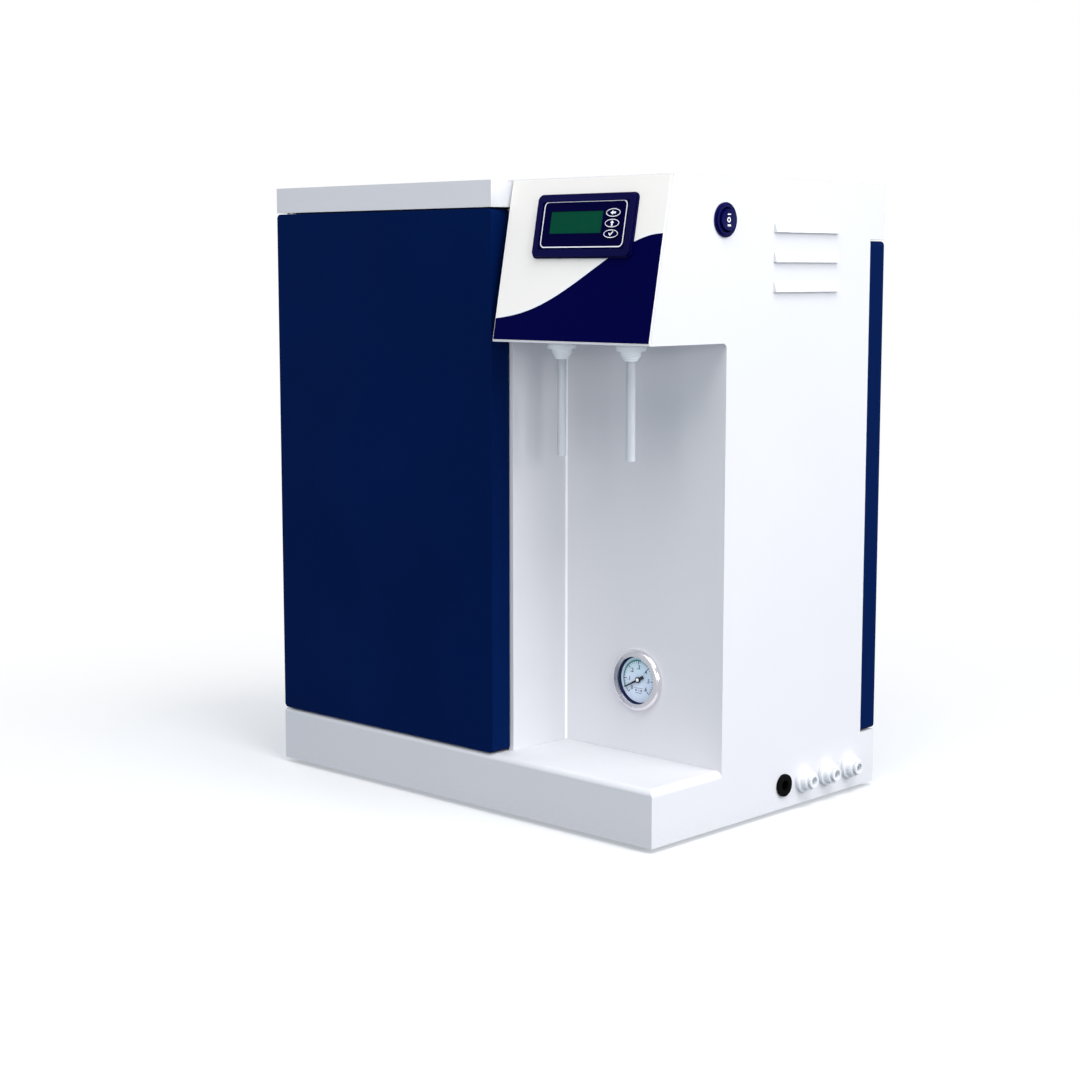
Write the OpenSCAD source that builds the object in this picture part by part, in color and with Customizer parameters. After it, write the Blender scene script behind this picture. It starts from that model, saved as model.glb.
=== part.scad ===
// Bench water purifier: a folded steel cabinet with an open dispensing bay, a sloped control head,
// a hinged front door over the filter cartridges and a moulded rear cover.
// Units are millimetres, +Z is up and the front faces -Y.
// The origin is the centre of the whole object's footprint, on the bench.

/* [Cabinet] */
// Width of the cabinet across its front
body_w = 411; // [408:1:430]
// Depth of the cabinet from front to back
body_d = 278; // [274:1:310]
// Height of the cabinet above its feet
body_h = 480; // [476:1:520]
// Thickness of the folded steel sheet
sheet_t = 1.5; // [1.2:0.1:2]
// Height of the base under the bay
base_h = 43; // [41:1:50]
// Radius of the base's front top edge
base_front_r = 4; // [3:0.5:6]
// Radius of the base's right top edge beside the bay
base_side_r = 5.5; // [3:0.5:8]
// Width of the panels' inward flanges
flange_w = 14; // [13:1:18]
// Height of the strip above the door
cap_h = 20; // [16:1:24]
// Height of the strip above the rear cover
rear_cap_h = 43; // [36:1:50]
// Clearance between fixed pieces that slip into each other
slip = 0.2; // [0.1:0.05:0.3]

/* [Covers] */
// Width of the front door
door_w = 250; // [248:1:254]
// Depth of the front door and of the rear cover
cover_t = 19; // [17:0.5:21]
// Wall of the moulded covers
cover_wall = 2; // [1.6:0.1:2.5]
// Corner radius of the moulded covers
cover_r = 3.5; // [3:0.5:4.5]
// Gap above and below the covers
cover_gap = 1.1; // [0.8:0.1:2]
// Gap behind the door, where its hinge edge turns
door_back_gap = 2; // [1.8:0.1:3]
// Diameter of the bosses inside the rear cover
boss_d = 10; // [8:0.5:11]
// Distance of the rear cover's screws from its top and bottom
cover_screw_inset = 30; // [20:1:60]
// Shank diameter of the rear cover's screws
cover_screw_d = 4; // [3:0.5:5]

/* [Hinge and catch] */
// Diameter of the hinge pins
hinge_pin_d = 6; // [5:0.5:7]
// Running clearance around the hinge pins, on the radius
hinge_play = 0.05; // [0.02:0.01:0.1]
// Height of the bushes inside the door
bush_h = 12; // [8:1:20]
// Height of the magnet catch
catch_h = 40; // [20:1:60]
// Width of the magnet catch and its strike
catch_w = 11; // [8:1:14]
// Gap between the magnet and its strike
catch_gap = 0.3; // [0.2:0.1:0.6]

/* [Bay and head] */
// Depth of the bay from the cabinet's front
bay_d = 80; // [76:1:86]
// Height of the control head
head_h = 119.5; // [117:0.5:126]
// How far the head's top edge stands behind the cabinet's front
head_set_back = 17; // [14:0.5:18]
// How far the head's bottom edge stands before the cabinet's front
head_overhang = 6; // [2:0.5:10]
// Gap between the door and the head
head_gap = 7; // [5:0.5:9]
// Gap between the door and the bay's left wall
liner_gap = 1.6; // [1:0.1:3]
// Fillet of the right panel's corner over the bay
notch_r = 4; // [2:0.5:8]
// Offset of the nozzles' and gauge's middle from the bay's middle
bay_axis_shift = -2.8; // [-5:0.1:3]

/* [Printed overlay] */
// Thickness of the overlay
overlay_t = 0.4; // [0.3:0.1:0.6]
// Margin of the overlay at its sides and top
overlay_margin = 0.6; // [0.4:0.1:3]
// Margin of the overlay at its foot
overlay_foot = 1.5; // [1:0.5:6]

/* [Meter] */
// Width of the meter's bezel
meter_w = 96; // [94:1:99]
// Height of the meter's bezel
meter_h = 47; // [45:1:49]
// How far the bezel stands out
meter_t = 3.6; // [3:0.2:5]
// Corner radius of the bezel
meter_r = 4; // [3:0.5:5]
// Width of the bezel's rim
rim_w = 6; // [5:0.5:7]
// Depth of the case behind the panel
meter_depth = 55; // [40:1:60]
// Offset of the meter's middle from the head's middle
meter_shift = 2.5; // [-5:0.5:5]
// Height of the meter's middle up the slope
meter_up = 85.5; // [84:0.5:88]
// Thickness of the meter's printed face
face_t = 1; // [0.8:0.1:1.2]
// Width of the display
lcd_w = 50.4; // [40:0.2:52]
// Height of the display
lcd_h = 16; // [12:0.5:18]
// Distance of the display's middle left of the meter's middle
lcd_left = 7.3; // [6.5:0.1:9]
// Distance of the display's middle above the meter's middle
lcd_up = 2.4; // [1.5:0.1:4]
// Width of a key
key_w = 14; // [10:0.5:15]
// Height of a key
key_h = 6.4; // [5:0.2:6.6]
// Spacing of the keys
key_pitch = 7.6; // [7.2:0.1:9]
// Distance of the keys' middle right of the meter's middle
key_right = 28.4; // [27.5:0.1:29]
// Travel of a key
key_travel = 0.6; // [0.3:0.1:0.8]
// How far a key stands out of the face
key_proud = 0.8; // [0.7:0.1:1.2]

/* [Rocker switch] */
// Diameter of the switch's bezel
switch_d = 25; // [24:0.5:28]
// How far the bezel stands out
switch_t = 2.5; // [1.5:0.5:4]
// Diameter of the switch's barrel
barrel_d = 20; // [19.6:0.2:21]
// Depth of the barrel behind the panel
barrel_depth = 20; // [16:1:28]
// Diameter of the rocker
rocker_d = 15.5; // [14:0.5:16]
// How far the rocker's ends stand out of the panel
rocker_proud = 5; // [4:0.5:6]
// Dish of the rocker's middle
rocker_dish = 1.2; // [0.5:0.1:2]
// Distance of the rocker's pivot behind the panel's face
pivot_depth = 3; // [2:0.5:5]
// Diameter of the rocker's pivot
pivot_d = 3; // [2:0.5:4]
// Distance of the switch from the cabinet's front
switch_from_front = 76; // [60:1:90]
// Distance of the switch below the cabinet's top
switch_from_top = 31; // [28:1:40]

/* [Louvres] */
// Number of louvres on each side
louvre_count = 3; // [1:1:5]
// Length of a louvre
louvre_l = 80; // [50:1:100]
// Height of a louvre
louvre_h = 8.5; // [7:0.5:12]
// How far a louvre stands out
louvre_out = 3; // [2:0.5:5]
// Spacing of the louvres
louvre_pitch = 22; // [16:0.5:26]
// Distance of the louvres' middle from the cabinet's front
louvre_from_front = 175; // [150:1:190]
// Distance of the first louvre's slit below the cabinet's top
louvre_from_top = 39; // [32:0.5:50]

/* [Gauge] */
// Diameter of the gauge's bezel
gauge_d = 48; // [46:1:52]
// How far the bezel stands out of the bay's back wall
gauge_t = 4.5; // [4:0.5:8]
// Width of the bezel's rim
gauge_rim = 5.5; // [4.5:0.5:6]
// Wall of the gauge's case
gauge_wall = 1.5; // [1:0.1:2]
// Depth of the case behind the wall
gauge_depth = 22; // [18:1:30]
// Height of the gauge's middle above the base's underside
gauge_up = 101; // [95:0.5:130]
// Thickness of the dial
dial_t = 0.8; // [0.6:0.1:1.2]
// Thickness of the glass
glass_t = 1.5; // [1:0.1:2]
// Diameter of the pointer's spindle
spindle_d = 2; // [1.5:0.1:2.5]
// Running clearance around the spindle, on the radius
spindle_play = 0.05; // [0.02:0.01:0.1]
// Angle of the pointer above the dial's zero
pointer_turn = 17.5; // [0:0.5:270]
// Length of the pointer
pointer_l = 15; // [12:0.5:16]
// Diameter of the gauge's stem
stem_d = 10; // [8:0.5:12]

/* [Nozzles] */
// Spacing of the nozzles
nozzle_pitch = 68.4; // [60:0.2:80]
// Distance of the nozzles from the cabinet's front
nozzle_from_front = 30; // [26:1:40]
// Diameter of a fitting's flange
nozzle_flange_d = 21.4; // [18:0.2:24]
// Height of a fitting's flange
nozzle_flange_h = 5.5; // [4:0.5:8]
// Diameter of a fitting's step
nozzle_step_d = 15.3; // [13:0.1:17]
// Height of a fitting's step
nozzle_step_h = 2.5; // [2:0.5:4]
// Height of a fitting's cone
nozzle_cone_h = 5; // [3:0.5:8]
// Outer diameter of a spout
spout_d = 7; // [6:0.1:8]
// Bore of a spout
spout_bore = 4.4; // [3:0.1:5]
// How much slimmer a spout's root is inside its fitting
spout_root_step = 0.3; // [0.2:0.1:0.6]
// Height of the spouts' ends above the base's underside
spout_end = 275.3; // [200:0.5:300]
// Height of a fitting's thread above the head's floor
thread_h = 20; // [16:1:24]

/* [Ports] */
// Height of the ports above the base's underside
port_up = 18.5; // [17:0.5:22]
// Spacing of the ports
port_pitch = 30.3; // [28:0.1:32]
// Distance of the last port from the cabinet's rear
port_from_rear = 34.9; // [31:0.1:37]
// Diameter of a port's flange
port_flange_d = 20; // [18:0.5:22]
// Thickness of a port's flange
port_flange_t = 3; // [2:0.5:5]
// Diameter of a port's barrel
port_barrel_d = 15; // [14:0.5:17]
// Length of a port's barrel outside the cabinet
port_barrel_l = 8; // [6:0.5:12]
// Length of a port inside the cabinet
port_inner_l = 24; // [20:1:30]
// Bore of a collet, for a tube of a quarter of an inch
collet_bore = 6.5; // [6.4:0.05:6.6]
// Outer diameter of a collet's sleeve
collet_d = 9; // [8.4:0.2:9.6]
// Diameter of a collet's head
collet_head_d = 11; // [10.5:0.5:13]
// Thickness of a collet's head
collet_head_t = 1.6; // [1:0.2:2]
// Travel of a collet
collet_travel = 1.5; // [1:0.1:2]
// Length of a collet's sleeve inside the port
collet_l = 10; // [8:0.5:12]
// Sliding clearance around a collet, on the radius
collet_play = 0.05; // [0.02:0.01:0.1]
// Diameter of the cord grommet's flange
grommet_d = 17.5; // [16:0.5:18.5]
// Bore of the cord grommet
grommet_bore = 8; // [6:0.5:9]
// Distance of the cord grommet from the first port
grommet_gap = 25.9; // [22:0.1:32]

/* [Feet] */
// Height of the feet
foot_h = 4; // [3:0.5:12]
// Diameter of a foot
foot_d = 24; // [18:1:30]
// Distance of the feet from the cabinet's sides
foot_inset = 28; // [22:1:40]
// Diameter of a foot's stem
foot_stem_d = 6; // [5:0.5:8]

/* [Filters] */
// Distance of the chassis plate from the cabinet's front
chassis_from_front = 110; // [108:1:114]
// Distance of the chassis plate from the cabinet's left side
chassis_inset = 6; // [4:1:10]
// Height of the chassis plate
chassis_h = 398; // [394:1:405]
// Diameter of a filter cartridge
filter_d = 60; // [52:1:66]
// Spacing of the filter cartridges
filter_pitch = 76; // [72:1:80]
// Distance of the cartridges from the cabinet's front
filter_from_front = 66; // [62:1:70]
// Length of a cartridge's body
filter_l = 262; // [220:1:280]
// Diameter of a cartridge's neck
filter_neck_d = 32; // [26:1:36]
// Height of a cartridge's neck
filter_neck_h = 14; // [10:1:16]
// Height of the manifold's underside above the base's underside
manifold_up = 388; // [384:1:390]
// Height of the manifold
manifold_h = 24; // [20:1:26]

/* [Columns] */
// Diameter of the membrane vessel
vessel_d = 62; // [56:1:66]
// Height of the membrane vessel
vessel_h = 262; // [240:1:266]
// Wall of the membrane vessel
vessel_wall = 4; // [3:0.5:6]
// Diameter of a deioniser column
column_d = 72; // [60:1:74]
// Height of a deioniser column
column_h = 280; // [240:1:284]
// Distance between the columns
column_gap = 10; // [9:0.5:11]
// Distance of the columns from the chassis plate
column_stand = 6; // [5:0.5:8]
// Height of a column clip
clip_h = 14; // [10:1:20]
// Thickness of a column clip
clip_t = 3.5; // [2.5:0.5:4]
// Height of the membrane vessel's cap
vessel_cap_h = 30; // [20:1:32]

/* [Pump] */
// Diameter of the pump's motor
motor_d = 62; // [54:1:64]
// Gap between the pump's motor and the right panel
motor_gap = 11.5; // [10:0.5:30]
// Side of the pump's head
pump_side = 62; // [54:1:64]
// Length of the pump's head
pump_l = 50; // [40:1:50]
// Distance of the pump's axis from the cabinet's rear
pump_from_rear = 70; // [66:0.5:72]
// Height of the pump over the base
pump_stand = 10; // [8:1:16]
// Gap between the deionisers and the pump's head
pump_gap = 18; // [17:0.5:18.5]

/* [Electrics] */
// Thickness of the power supply
supply_t = 38; // [30:1:40]
// Depth of the power supply
supply_d = 98; // [80:1:100]
// Height of the power supply
supply_h = 158; // [120:1:160]
// Distance of the power supply from the cabinet's front
supply_from_front = 128; // [126:1:132]
// Height of the power supply above the base's underside
supply_up = 190; // [180:1:196]
// Width of the control board
board_w = 150; // [120:1:160]
// Height of the control board
board_h = 74; // [60:1:76]
// Thickness of the control board
board_t = 1.6; // [1.2:0.2:2]
// Height of the control board's standoffs
standoff_h = 8; // [6:0.5:10]

/* [Valves and tubes] */
// Width of a solenoid valve
valve_w = 30; // [26:1:34]
// Height of a solenoid valve's body
valve_h = 24; // [20:1:28]
// Depth of a solenoid valve's body
valve_d = 28; // [24:1:30]
// Diameter of a solenoid valve's coil
coil_d = 26; // [22:1:28]
// Length of a solenoid valve's coil
coil_l = 14; // [10:1:14]
// Height of the inlet valve above the base's underside
inlet_valve_up = 172; // [165:1:180]
// Height of the dispensing valves above the base's underside
dispense_valve_up = 275; // [265:1:280]
// Outer diameter of a water tube
tube_d = 6.35; // [6:0.05:6.35]
// Bend radius of a water tube
bend_r = 12; // [10:0.5:12]

/* [Hidden] */
$fn = 96;
over = 1;
cut_l = 4 * sheet_t;
hex_share = cos(30);

// Whole object's box, and the cabinet's corner in it
port_out = port_barrel_l + collet_travel + collet_head_t + slip;
screw_head_h = 2;
overall_w = louvre_out + body_w + port_out;
overall_d = head_overhang + body_d + screw_head_h;
x_left = louvre_out - overall_w / 2;
y_front = head_overhang - overall_d / 2;
z_base = foot_h;

// Control head
head_z = body_h - head_h;
head_tilt = atan((head_set_back + head_overhang) / head_h);
slope_l = head_h / cos(head_tilt);
slope_step = sheet_t / cos(head_tilt);
liner_x = door_w + liner_gap;
liner_y = cover_t + over;
stop_w = liner_gap + cover_wall + slip;
cap_return_w = sheet_t + head_gap - slip;
head_x = door_w + head_gap;

// Covers and hinge
door_z = base_h + cover_gap;
door_h = body_h - cap_h - cover_gap - door_z;
rear_z = base_h + cover_gap;
rear_h = body_h - rear_cap_h - cover_gap - rear_z;
hinge_in = cover_t / 2;
cover_inner_r = cover_r - 0.7 * cover_wall;
left_edge = cover_t + door_back_gap;
rear_edge = body_d - cover_t;
cover_screw_x = cover_wall + boss_d / 2 + over;
pin_head_d = hinge_pin_d + 4;
pin_head_h = 1.5;
strike_back = 1.5;
catch_d = 22;
liner_lap = 20;

// Feet and louvres
foot_taper = 1.5;
foot_barb = 1.2;
foot_barb_h = 4;
louvre_keep = 0.64;

// Meter stack, measured out of the sloped sheet
bezel_n = overlay_t;
face_n = bezel_n + meter_t - 1.5;
pocket_w = meter_w - 2 * rim_w;
pocket_h = meter_h - 2 * rim_w;
meter_x = (head_x + body_w) / 2 + meter_shift;
case_w = meter_w - 4;
case_h = meter_h - 3;
bezel_step = 1;
bezel_low = meter_t / 2;
display_t = 0.7 * face_t;
key_z0 = face_n - 0.8;
key_well = 0.1;
key_mid = lcd_up - 1.4;

// Switch
rocker_room_r = rocker_d / 2 + 1.35;
rocker_room_d = pivot_depth + pivot_d + 3;
switch_bevel = 3;
pivot_play = 0.05;
pivot_l = 2 * rocker_room_r + 1.2;

// Gauge
gauge_x = (liner_x + body_w) / 2 + bay_axis_shift;
bezel_r = gauge_d / 2;
sight_r = bezel_r - gauge_rim;
case_r = sight_r + 2;
bezel_lip = 1.2;
glass_n = gauge_t - bezel_lip - glass_t;
pointer_room = 2.3;
dial_n = glass_n - pointer_room - dial_t;
pointer_n = dial_n + dial_t + 0.7;
pointer_t = 0.8;
pointer_tail = 6;
pointer_root_w = 0.9;
pointer_tip_w = 0.4;
hub_d = spindle_d + 2.6;
hub_lap = 0.25;
spindle_l = 5;
bezel_round = 3;
case_rim = 1.5;
stem_hex_d = stem_d + 6;
stem_hex_h = 6;
stem_l = 14;
lock_ring_w = 5;
lock_ring_h = 5;

// Nozzles
nozzle_x = [gauge_x - nozzle_pitch / 2, gauge_x + nozzle_pitch / 2];
thread_r = 6;
cone_z = head_z - nozzle_flange_h - nozzle_step_h - nozzle_cone_h;
tip_wall = 0.6;
nut_h = 6;
nut_flats = 18;

// Ports
port_thread_r = port_barrel_d / 2 - 0.5;
port_nut_flats = 22;
port_nut_h = 5;
port_stop_r = 2.4;
grommet_lip = 2;
grommet_neck_r = grommet_d / 2 - grommet_lip;
port_y = [for (i = [2:-1:0]) body_d - port_from_rear - i * port_pitch];
grommet_y = port_y[0] - grommet_gap;
port_panel_y = grommet_y - grommet_d;

// Filters and columns
filter_mid = door_w / 2;
filter_x = [for (i = [-1:1]) filter_mid + i * filter_pitch];
filter_head_r = filter_neck_d / 2 + 7;
filter_seat = 0.3;
filter_lap = 2;
filter_round = 8;
filter_shoulder = 4;
bar_w = 2 * (filter_pitch + filter_head_r);
manifold_right = filter_mid + bar_w / 2;
manifold_mid = manifold_up + manifold_h / 2;
manifold_out_in = 10;
manifold_out_x = manifold_right - manifold_out_in;
chassis_w = door_w - 2 * chassis_inset;
chassis_back = chassis_from_front + sheet_t;
column_x0 = chassis_inset + 8;
vessel_x = column_x0 + vessel_d / 2;
column_x1 = column_x0 + vessel_d + column_gap + column_d / 2;
column_x2 = column_x1 + column_d + column_gap;
vessel_y = chassis_back + column_stand + vessel_d / 2;
column_y = chassis_back + column_stand + column_d / 2;
vessel_top = base_h + vessel_h;
column_top = base_h + column_h;
clip_low = 60;
clip_high = 200;
clip_z = [base_h + clip_low, base_h + clip_high];
clip_open = 0.4;
element_gap = 0.4;
cap_lap = 10;
cap_wall = 4;
column_rim = 3;
column_rim_h = 24;
vessel_port_step = 16;
column_port_step = 14;
vessel_ports = [vessel_x - vessel_port_step, vessel_x, vessel_x + vessel_port_step];
left_ports = [column_x1 - column_port_step, column_x1 + column_port_step];
right_ports = [column_x2 - column_port_step, column_x2 + column_port_step];

// Pump and its saddle
pump_x = column_x2 + column_d / 2 + pump_gap;
pump_axis = base_h + pump_stand + max(motor_d, pump_side) / 2;
riser_x = pump_x - pump_gap / 2;
motor_cap_l = 6;
motor_cap_step = 8;
pump_port_x = pump_x + pump_l / 2;
pump_top = pump_axis + pump_side / 2;
pump_y = body_d - pump_from_rear;
pump_port_step = 18;
pump_in_y = pump_y - pump_port_step;
pump_out_y = pump_y + pump_port_step;
motor_l = body_w - sheet_t - motor_gap - pump_x - pump_l;
mount_t = 3;
mount_inset = 5;
saddle_l = 30;
saddle_w = 40;
saddle_reach = 0.6;

// Valves
wall_back = bay_d + sheet_t;
valve_y = wall_back + valve_d / 2;
valve_stub = 8;
tube_r = tube_d / 2;
tube_bore_r = tube_r - 1;
stub_r = 6;
tube_hole_r = tube_r + 1;
socket_r = tube_r + slip / 2;
socket_l = 8;
tube_in = 6;
feed_drop = 30;
raw_rise = 24;
raw_step = 14;
link_rise = 22;
drain_rise = 9;
pump_run_rise = 33;
product_drop = 28;
product_step = 4;
tank_drop = 12;
spout_rise = 16;
board_x = chassis_inset + (chassis_w - board_w) / 2;
board_z = base_h + chassis_h - board_h - 4;
terminal_h = 22;
terminal_d = 12;
terminal_side = 4;
board_hole = 8;
standoff_d = 7;
relay = [18, 16, 22];
relay_count = 4;
relay_pitch = 26;
relay_up = 40;
strip_up = 3;
strip = [board_w - 2 * relay.x, 11, 12];

// Distance of the sloped front's outer and inner side from the cabinet's front, at height z
function slope_out(z) = (z - head_z) * tan(head_tilt) - head_overhang;
function slope_in(z) = slope_out(z) + slope_step;

// Places its children in the cabinet's own frame: from the left side, the front and the base's underside
module at(x, y, z) translate([x_left + x, y_front + y, z_base + z]) children();

// A box from one corner in the cabinet's frame
module box(x, y, z, size) at(x, y, z) cube(size);

// Turns a drawing of the depth and the height into a sheet that grows to the right
module side_sheet(x, t) at(x, 0, 0) rotate([90, 0, 90]) linear_extrude(t) children();

// Turns a drawing of the width and the height into a prism that grows to the front from depth y
module front_prism(y, l) at(0, y, 0) rotate([90, 0, 0]) linear_extrude(l) children();

// Frames whose +z points out of the right side, the sloped front and the bay's back wall
module on_right(y, z) at(body_w, y, z) rotate([0, 90, 0]) children();
module on_slope(x, up) {
  at(x, -head_overhang, head_z)
    rotate([90 - head_tilt, 0, 0])
      translate([0, up, 0])
        children();
}

module on_meter() on_slope(meter_x, meter_up) children();
module on_gauge() at(gauge_x, bay_d, gauge_up) rotate([90, 0, 0]) children();

module round_rect(w, h, r) {
  square([w - 2 * r, h], center = true);
  square([w, h - 2 * r], center = true);
  for (x = [-1, 1], y = [-1, 1])
    translate([x * (w / 2 - r), y * (h / 2 - r)])
      circle(r);
}

module stadium(w, h) {
  square([w - h, h], center = true);
  for (x = [-1, 1])
    translate([x * (w - h) / 2, 0])
      circle(h / 2);
}

// What is cut from an upper left corner to round it
module corner_cut(r) {
  difference() {
    translate([-over, -r])
      square([r + over, r + over]);
    translate([r, -r])
      circle(r);
  }
}

module hex_nut(flats, bore_r, h) {
  difference() {
    cylinder(d = flats / hex_share, h = h, $fn = 6);
    translate([0, 0, -over])
      cylinder(r = bore_r, h = h + 2 * over);
  }
}

// A tube along straight runs that bend with one radius
function unit(v) = v / norm(v);
function run_dir(p, i) = unit(p[i + 1] - p[i]);
function turn_at(p, i) = acos(run_dir(p, i - 1) * run_dir(p, i));
function trim(p, i) = i == 0 || i == len(p) - 1 ? 0 : bend_r * tan(turn_at(p, i) / 2);

module pipe(p) {
  at(0, 0, 0) {
    for (i = [0:len(p) - 2]) {
      d = run_dir(p, i);
      start = p[i] + d * trim(p, i);
      l = norm(p[i + 1] - p[i]) - trim(p, i) - trim(p, i + 1);
      translate(start)
        rotate([0, acos(d.z), atan2(d.y, d.x)])
          linear_extrude(l)
            tube_ring();
    }
    for (i = [1:len(p) - 2]) {
      a = run_dir(p, i - 1);
      b = run_dir(p, i);
      out = -unit(b - a * (a * b));
      side = cross(out, a);
      mid = p[i] - a * trim(p, i) - out * bend_r;
      multmatrix([
        [out.x, a.x, side.x, mid.x],
        [out.y, a.y, side.y, mid.y],
        [out.z, a.z, side.z, mid.z],
        [0, 0, 0, 1]
      ])
        rotate_extrude(angle = turn_at(p, i))
          translate([bend_r, 0])
            tube_ring();
    }
  }
}

module tube_ring() {
  difference() {
    circle(tube_r);
    circle(tube_bore_r);
  }
}

// The base: an upturned tray with the bay's floor on top
module base_side(inset) {
  foot = inset > 0 ? over : 0;
  difference() {
    translate([inset, -foot])
      square([body_d - 2 * inset, base_h - inset + foot]);
    translate([inset, base_h - inset])
      corner_cut(base_front_r - inset);
  }
}

module base_block(inset) {
  difference() {
    side_sheet(inset, body_w - 2 * inset)
      base_side(inset);
    front_prism(bay_d, bay_d + over)
      translate([body_w - inset, base_h - inset])
        mirror([1, 0])
          corner_cut(base_side_r - inset);
  }
}

module port_panel_sheet(grow) {
  l = body_d - sheet_t - port_panel_y;
  box(body_w - sheet_t, port_panel_y, -grow, [sheet_t + grow, l, base_h - sheet_t + grow]);
}

module base_tray() {
  color("white")
    difference() {
      base_block(0);
      base_block(sheet_t);
      port_panel_sheet(over);
      for (y = port_y)
        at(riser_x, y, base_h - cut_l / 2)
          cylinder(r = tube_hole_r, h = cut_l);
      at(hinge_in, hinge_in, base_h - cut_l / 2)
        cylinder(d = hinge_pin_d + slip, h = cut_l);
    }
}

// The connection plate in the base's right side
module port_panel() {
  color("white")
    difference() {
      port_panel_sheet(0);
      for (y = port_y)
        on_right(y, port_up)
          translate([0, 0, -cut_l / 2])
            cylinder(r = port_thread_r + slip, h = cut_l);
      on_right(grommet_y, port_up)
        translate([0, 0, -cut_l / 2])
          cylinder(r = grommet_neck_r + slip, h = cut_l);
    }
}

module bottom_plate() {
  inset = sheet_t + slip;
  color("gainsboro")
    difference() {
      box(inset, inset, 0, [body_w - 2 * inset, body_d - 2 * inset, sheet_t]);
      for_feet()
        translate([0, 0, -over])
          cylinder(d = foot_stem_d + slip, h = sheet_t + 2 * over);
    }
}

module for_feet() {
  for (x = [foot_inset, body_w - foot_inset], y = [foot_inset, body_d - foot_inset])
    at(x, y, 0)
      children();
}

module rubber_feet() {
  pad_r = foot_d / 2;
  stem_r = foot_stem_d / 2;
  barb_z = sheet_t + slip;
  color("dimgray")
    for_feet()
      rotate_extrude()
        polygon([
          [0, -foot_h], [pad_r - foot_taper, -foot_h], [pad_r, 0], [stem_r, 0],
          [stem_r, barb_z], [stem_r + foot_barb, barb_z], [stem_r - foot_barb, barb_z + foot_barb_h],
          [0, barb_z + foot_barb_h]
        ]);
}

// Louvres, pressed out of a side panel: side is 1 for the right panel and -1 for the left one
module louvre_places(x) {
  for (i = [0:louvre_count - 1])
    at(x, louvre_from_front + louvre_l / 2, body_h - louvre_from_top - i * louvre_pitch)
      rotate([90, 0, 0])
        children();
}

module louvre_skin(side) {
  back = -side * sheet_t / 2;
  linear_extrude(louvre_l)
    polygon([[back, louvre_h], [0, louvre_h], [side * louvre_out, 0], [back, 0]]);
}

module louvre_hollow(side) {
  inner = side * louvre_out * louvre_keep;
  inner_h = louvre_h * louvre_keep;
  back = -2 * side * sheet_t;
  translate([0, 0, sheet_t])
    linear_extrude(louvre_l - 2 * sheet_t)
      polygon([
        [back, 0], [0, 0], [0, -over], [inner, -over], [inner, 0],
        [0, inner_h], [back, inner_h]
      ]);
}

module side_outline_right() {
  top = body_h - sheet_t;
  polygon([
    [bay_d, base_h], [bay_d, head_z], [slope_in(head_z), head_z], [slope_in(top), top],
    [body_d - sheet_t, top], [body_d - sheet_t, body_h - rear_cap_h],
    [rear_edge, body_h - rear_cap_h], [rear_edge, base_h]
  ]);
  difference() {
    translate([bay_d - notch_r, head_z - notch_r])
      square(notch_r);
    translate([bay_d - notch_r, head_z - notch_r])
      circle(notch_r);
  }
}

module side_outline_left() {
  top = body_h - sheet_t;
  polygon([
    [left_edge, base_h], [left_edge, body_h - cap_h], [sheet_t, body_h - cap_h], [sheet_t, top],
    [body_d - sheet_t, top], [body_d - sheet_t, body_h - rear_cap_h],
    [rear_edge, body_h - rear_cap_h], [rear_edge, base_h]
  ]);
}

// A side panel's foot on the base and its flange behind, where the rear cover's screws hold
module side_flanges(x, y) {
  box(x, y, base_h, [flange_w, rear_edge - y, sheet_t]);
  box(x, rear_edge - sheet_t, base_h, [flange_w, sheet_t, body_h - rear_cap_h - base_h]);
}

module for_cover_screws() {
  top = rear_z + rear_h - cover_screw_inset;
  for (x = [cover_screw_x, body_w - cover_screw_x], z = [rear_z + cover_screw_inset, top])
    at(x, body_d, z)
      rotate([90, 0, 0])
        children();
}

module cover_screw_hole() {
  translate([0, 0, -over])
    cylinder(d = cover_screw_d + slip, h = cover_t + sheet_t + 2 * over);
}

module right_side_panel() {
  color("white")
    difference() {
      union() {
        side_sheet(body_w - sheet_t, sheet_t)
          side_outline_right();
        side_flanges(body_w - flange_w, wall_back);
        louvre_places(body_w)
          louvre_skin(1);
      }
      louvre_places(body_w)
        louvre_hollow(1);
      on_right(switch_from_front, body_h - switch_from_top)
        translate([0, 0, -cut_l / 2])
          cylinder(d = barrel_d + slip, h = cut_l);
      for_cover_screws()
        cover_screw_hole();
    }
}

module left_side_panel() {
  color("white")
    difference() {
      union() {
        side_sheet(0, sheet_t)
          side_outline_left();
        side_flanges(0, chassis_back + column_stand + column_d);
        louvre_places(0)
          louvre_skin(-1);
      }
      louvre_places(0)
        louvre_hollow(-1);
      for_cover_screws()
        cover_screw_hole();
    }
}

// The top, with the strip above the door, its underside and the strip above the rear cover
module top_cover() {
  edge = slope_in(body_h);
  color("white")
    difference() {
      union() {
        at(0, 0, body_h - sheet_t)
          linear_extrude(sheet_t)
            polygon([[0, 0], [door_w, 0], [door_w, edge], [body_w, edge], [body_w, body_d], [0, body_d]]);
        box(0, 0, body_h - cap_h, [door_w, sheet_t, cap_h]);
        box(sheet_t, 0, body_h - cap_h, [door_w - sheet_t, cover_t, sheet_t]);
        box(door_w - sheet_t, 0, body_h - cap_h, [sheet_t, liner_y, cap_h]);
        box(door_w - sheet_t, liner_y - sheet_t, body_h - cap_h, [cap_return_w, sheet_t, cap_h]);
        box(0, body_d - sheet_t, body_h - rear_cap_h, [body_w, sheet_t, rear_cap_h]);
      }
      at(hinge_in, hinge_in, body_h - cap_h - over)
        cylinder(d = hinge_pin_d + slip, h = sheet_t + 2 * over);
    }
}

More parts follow.
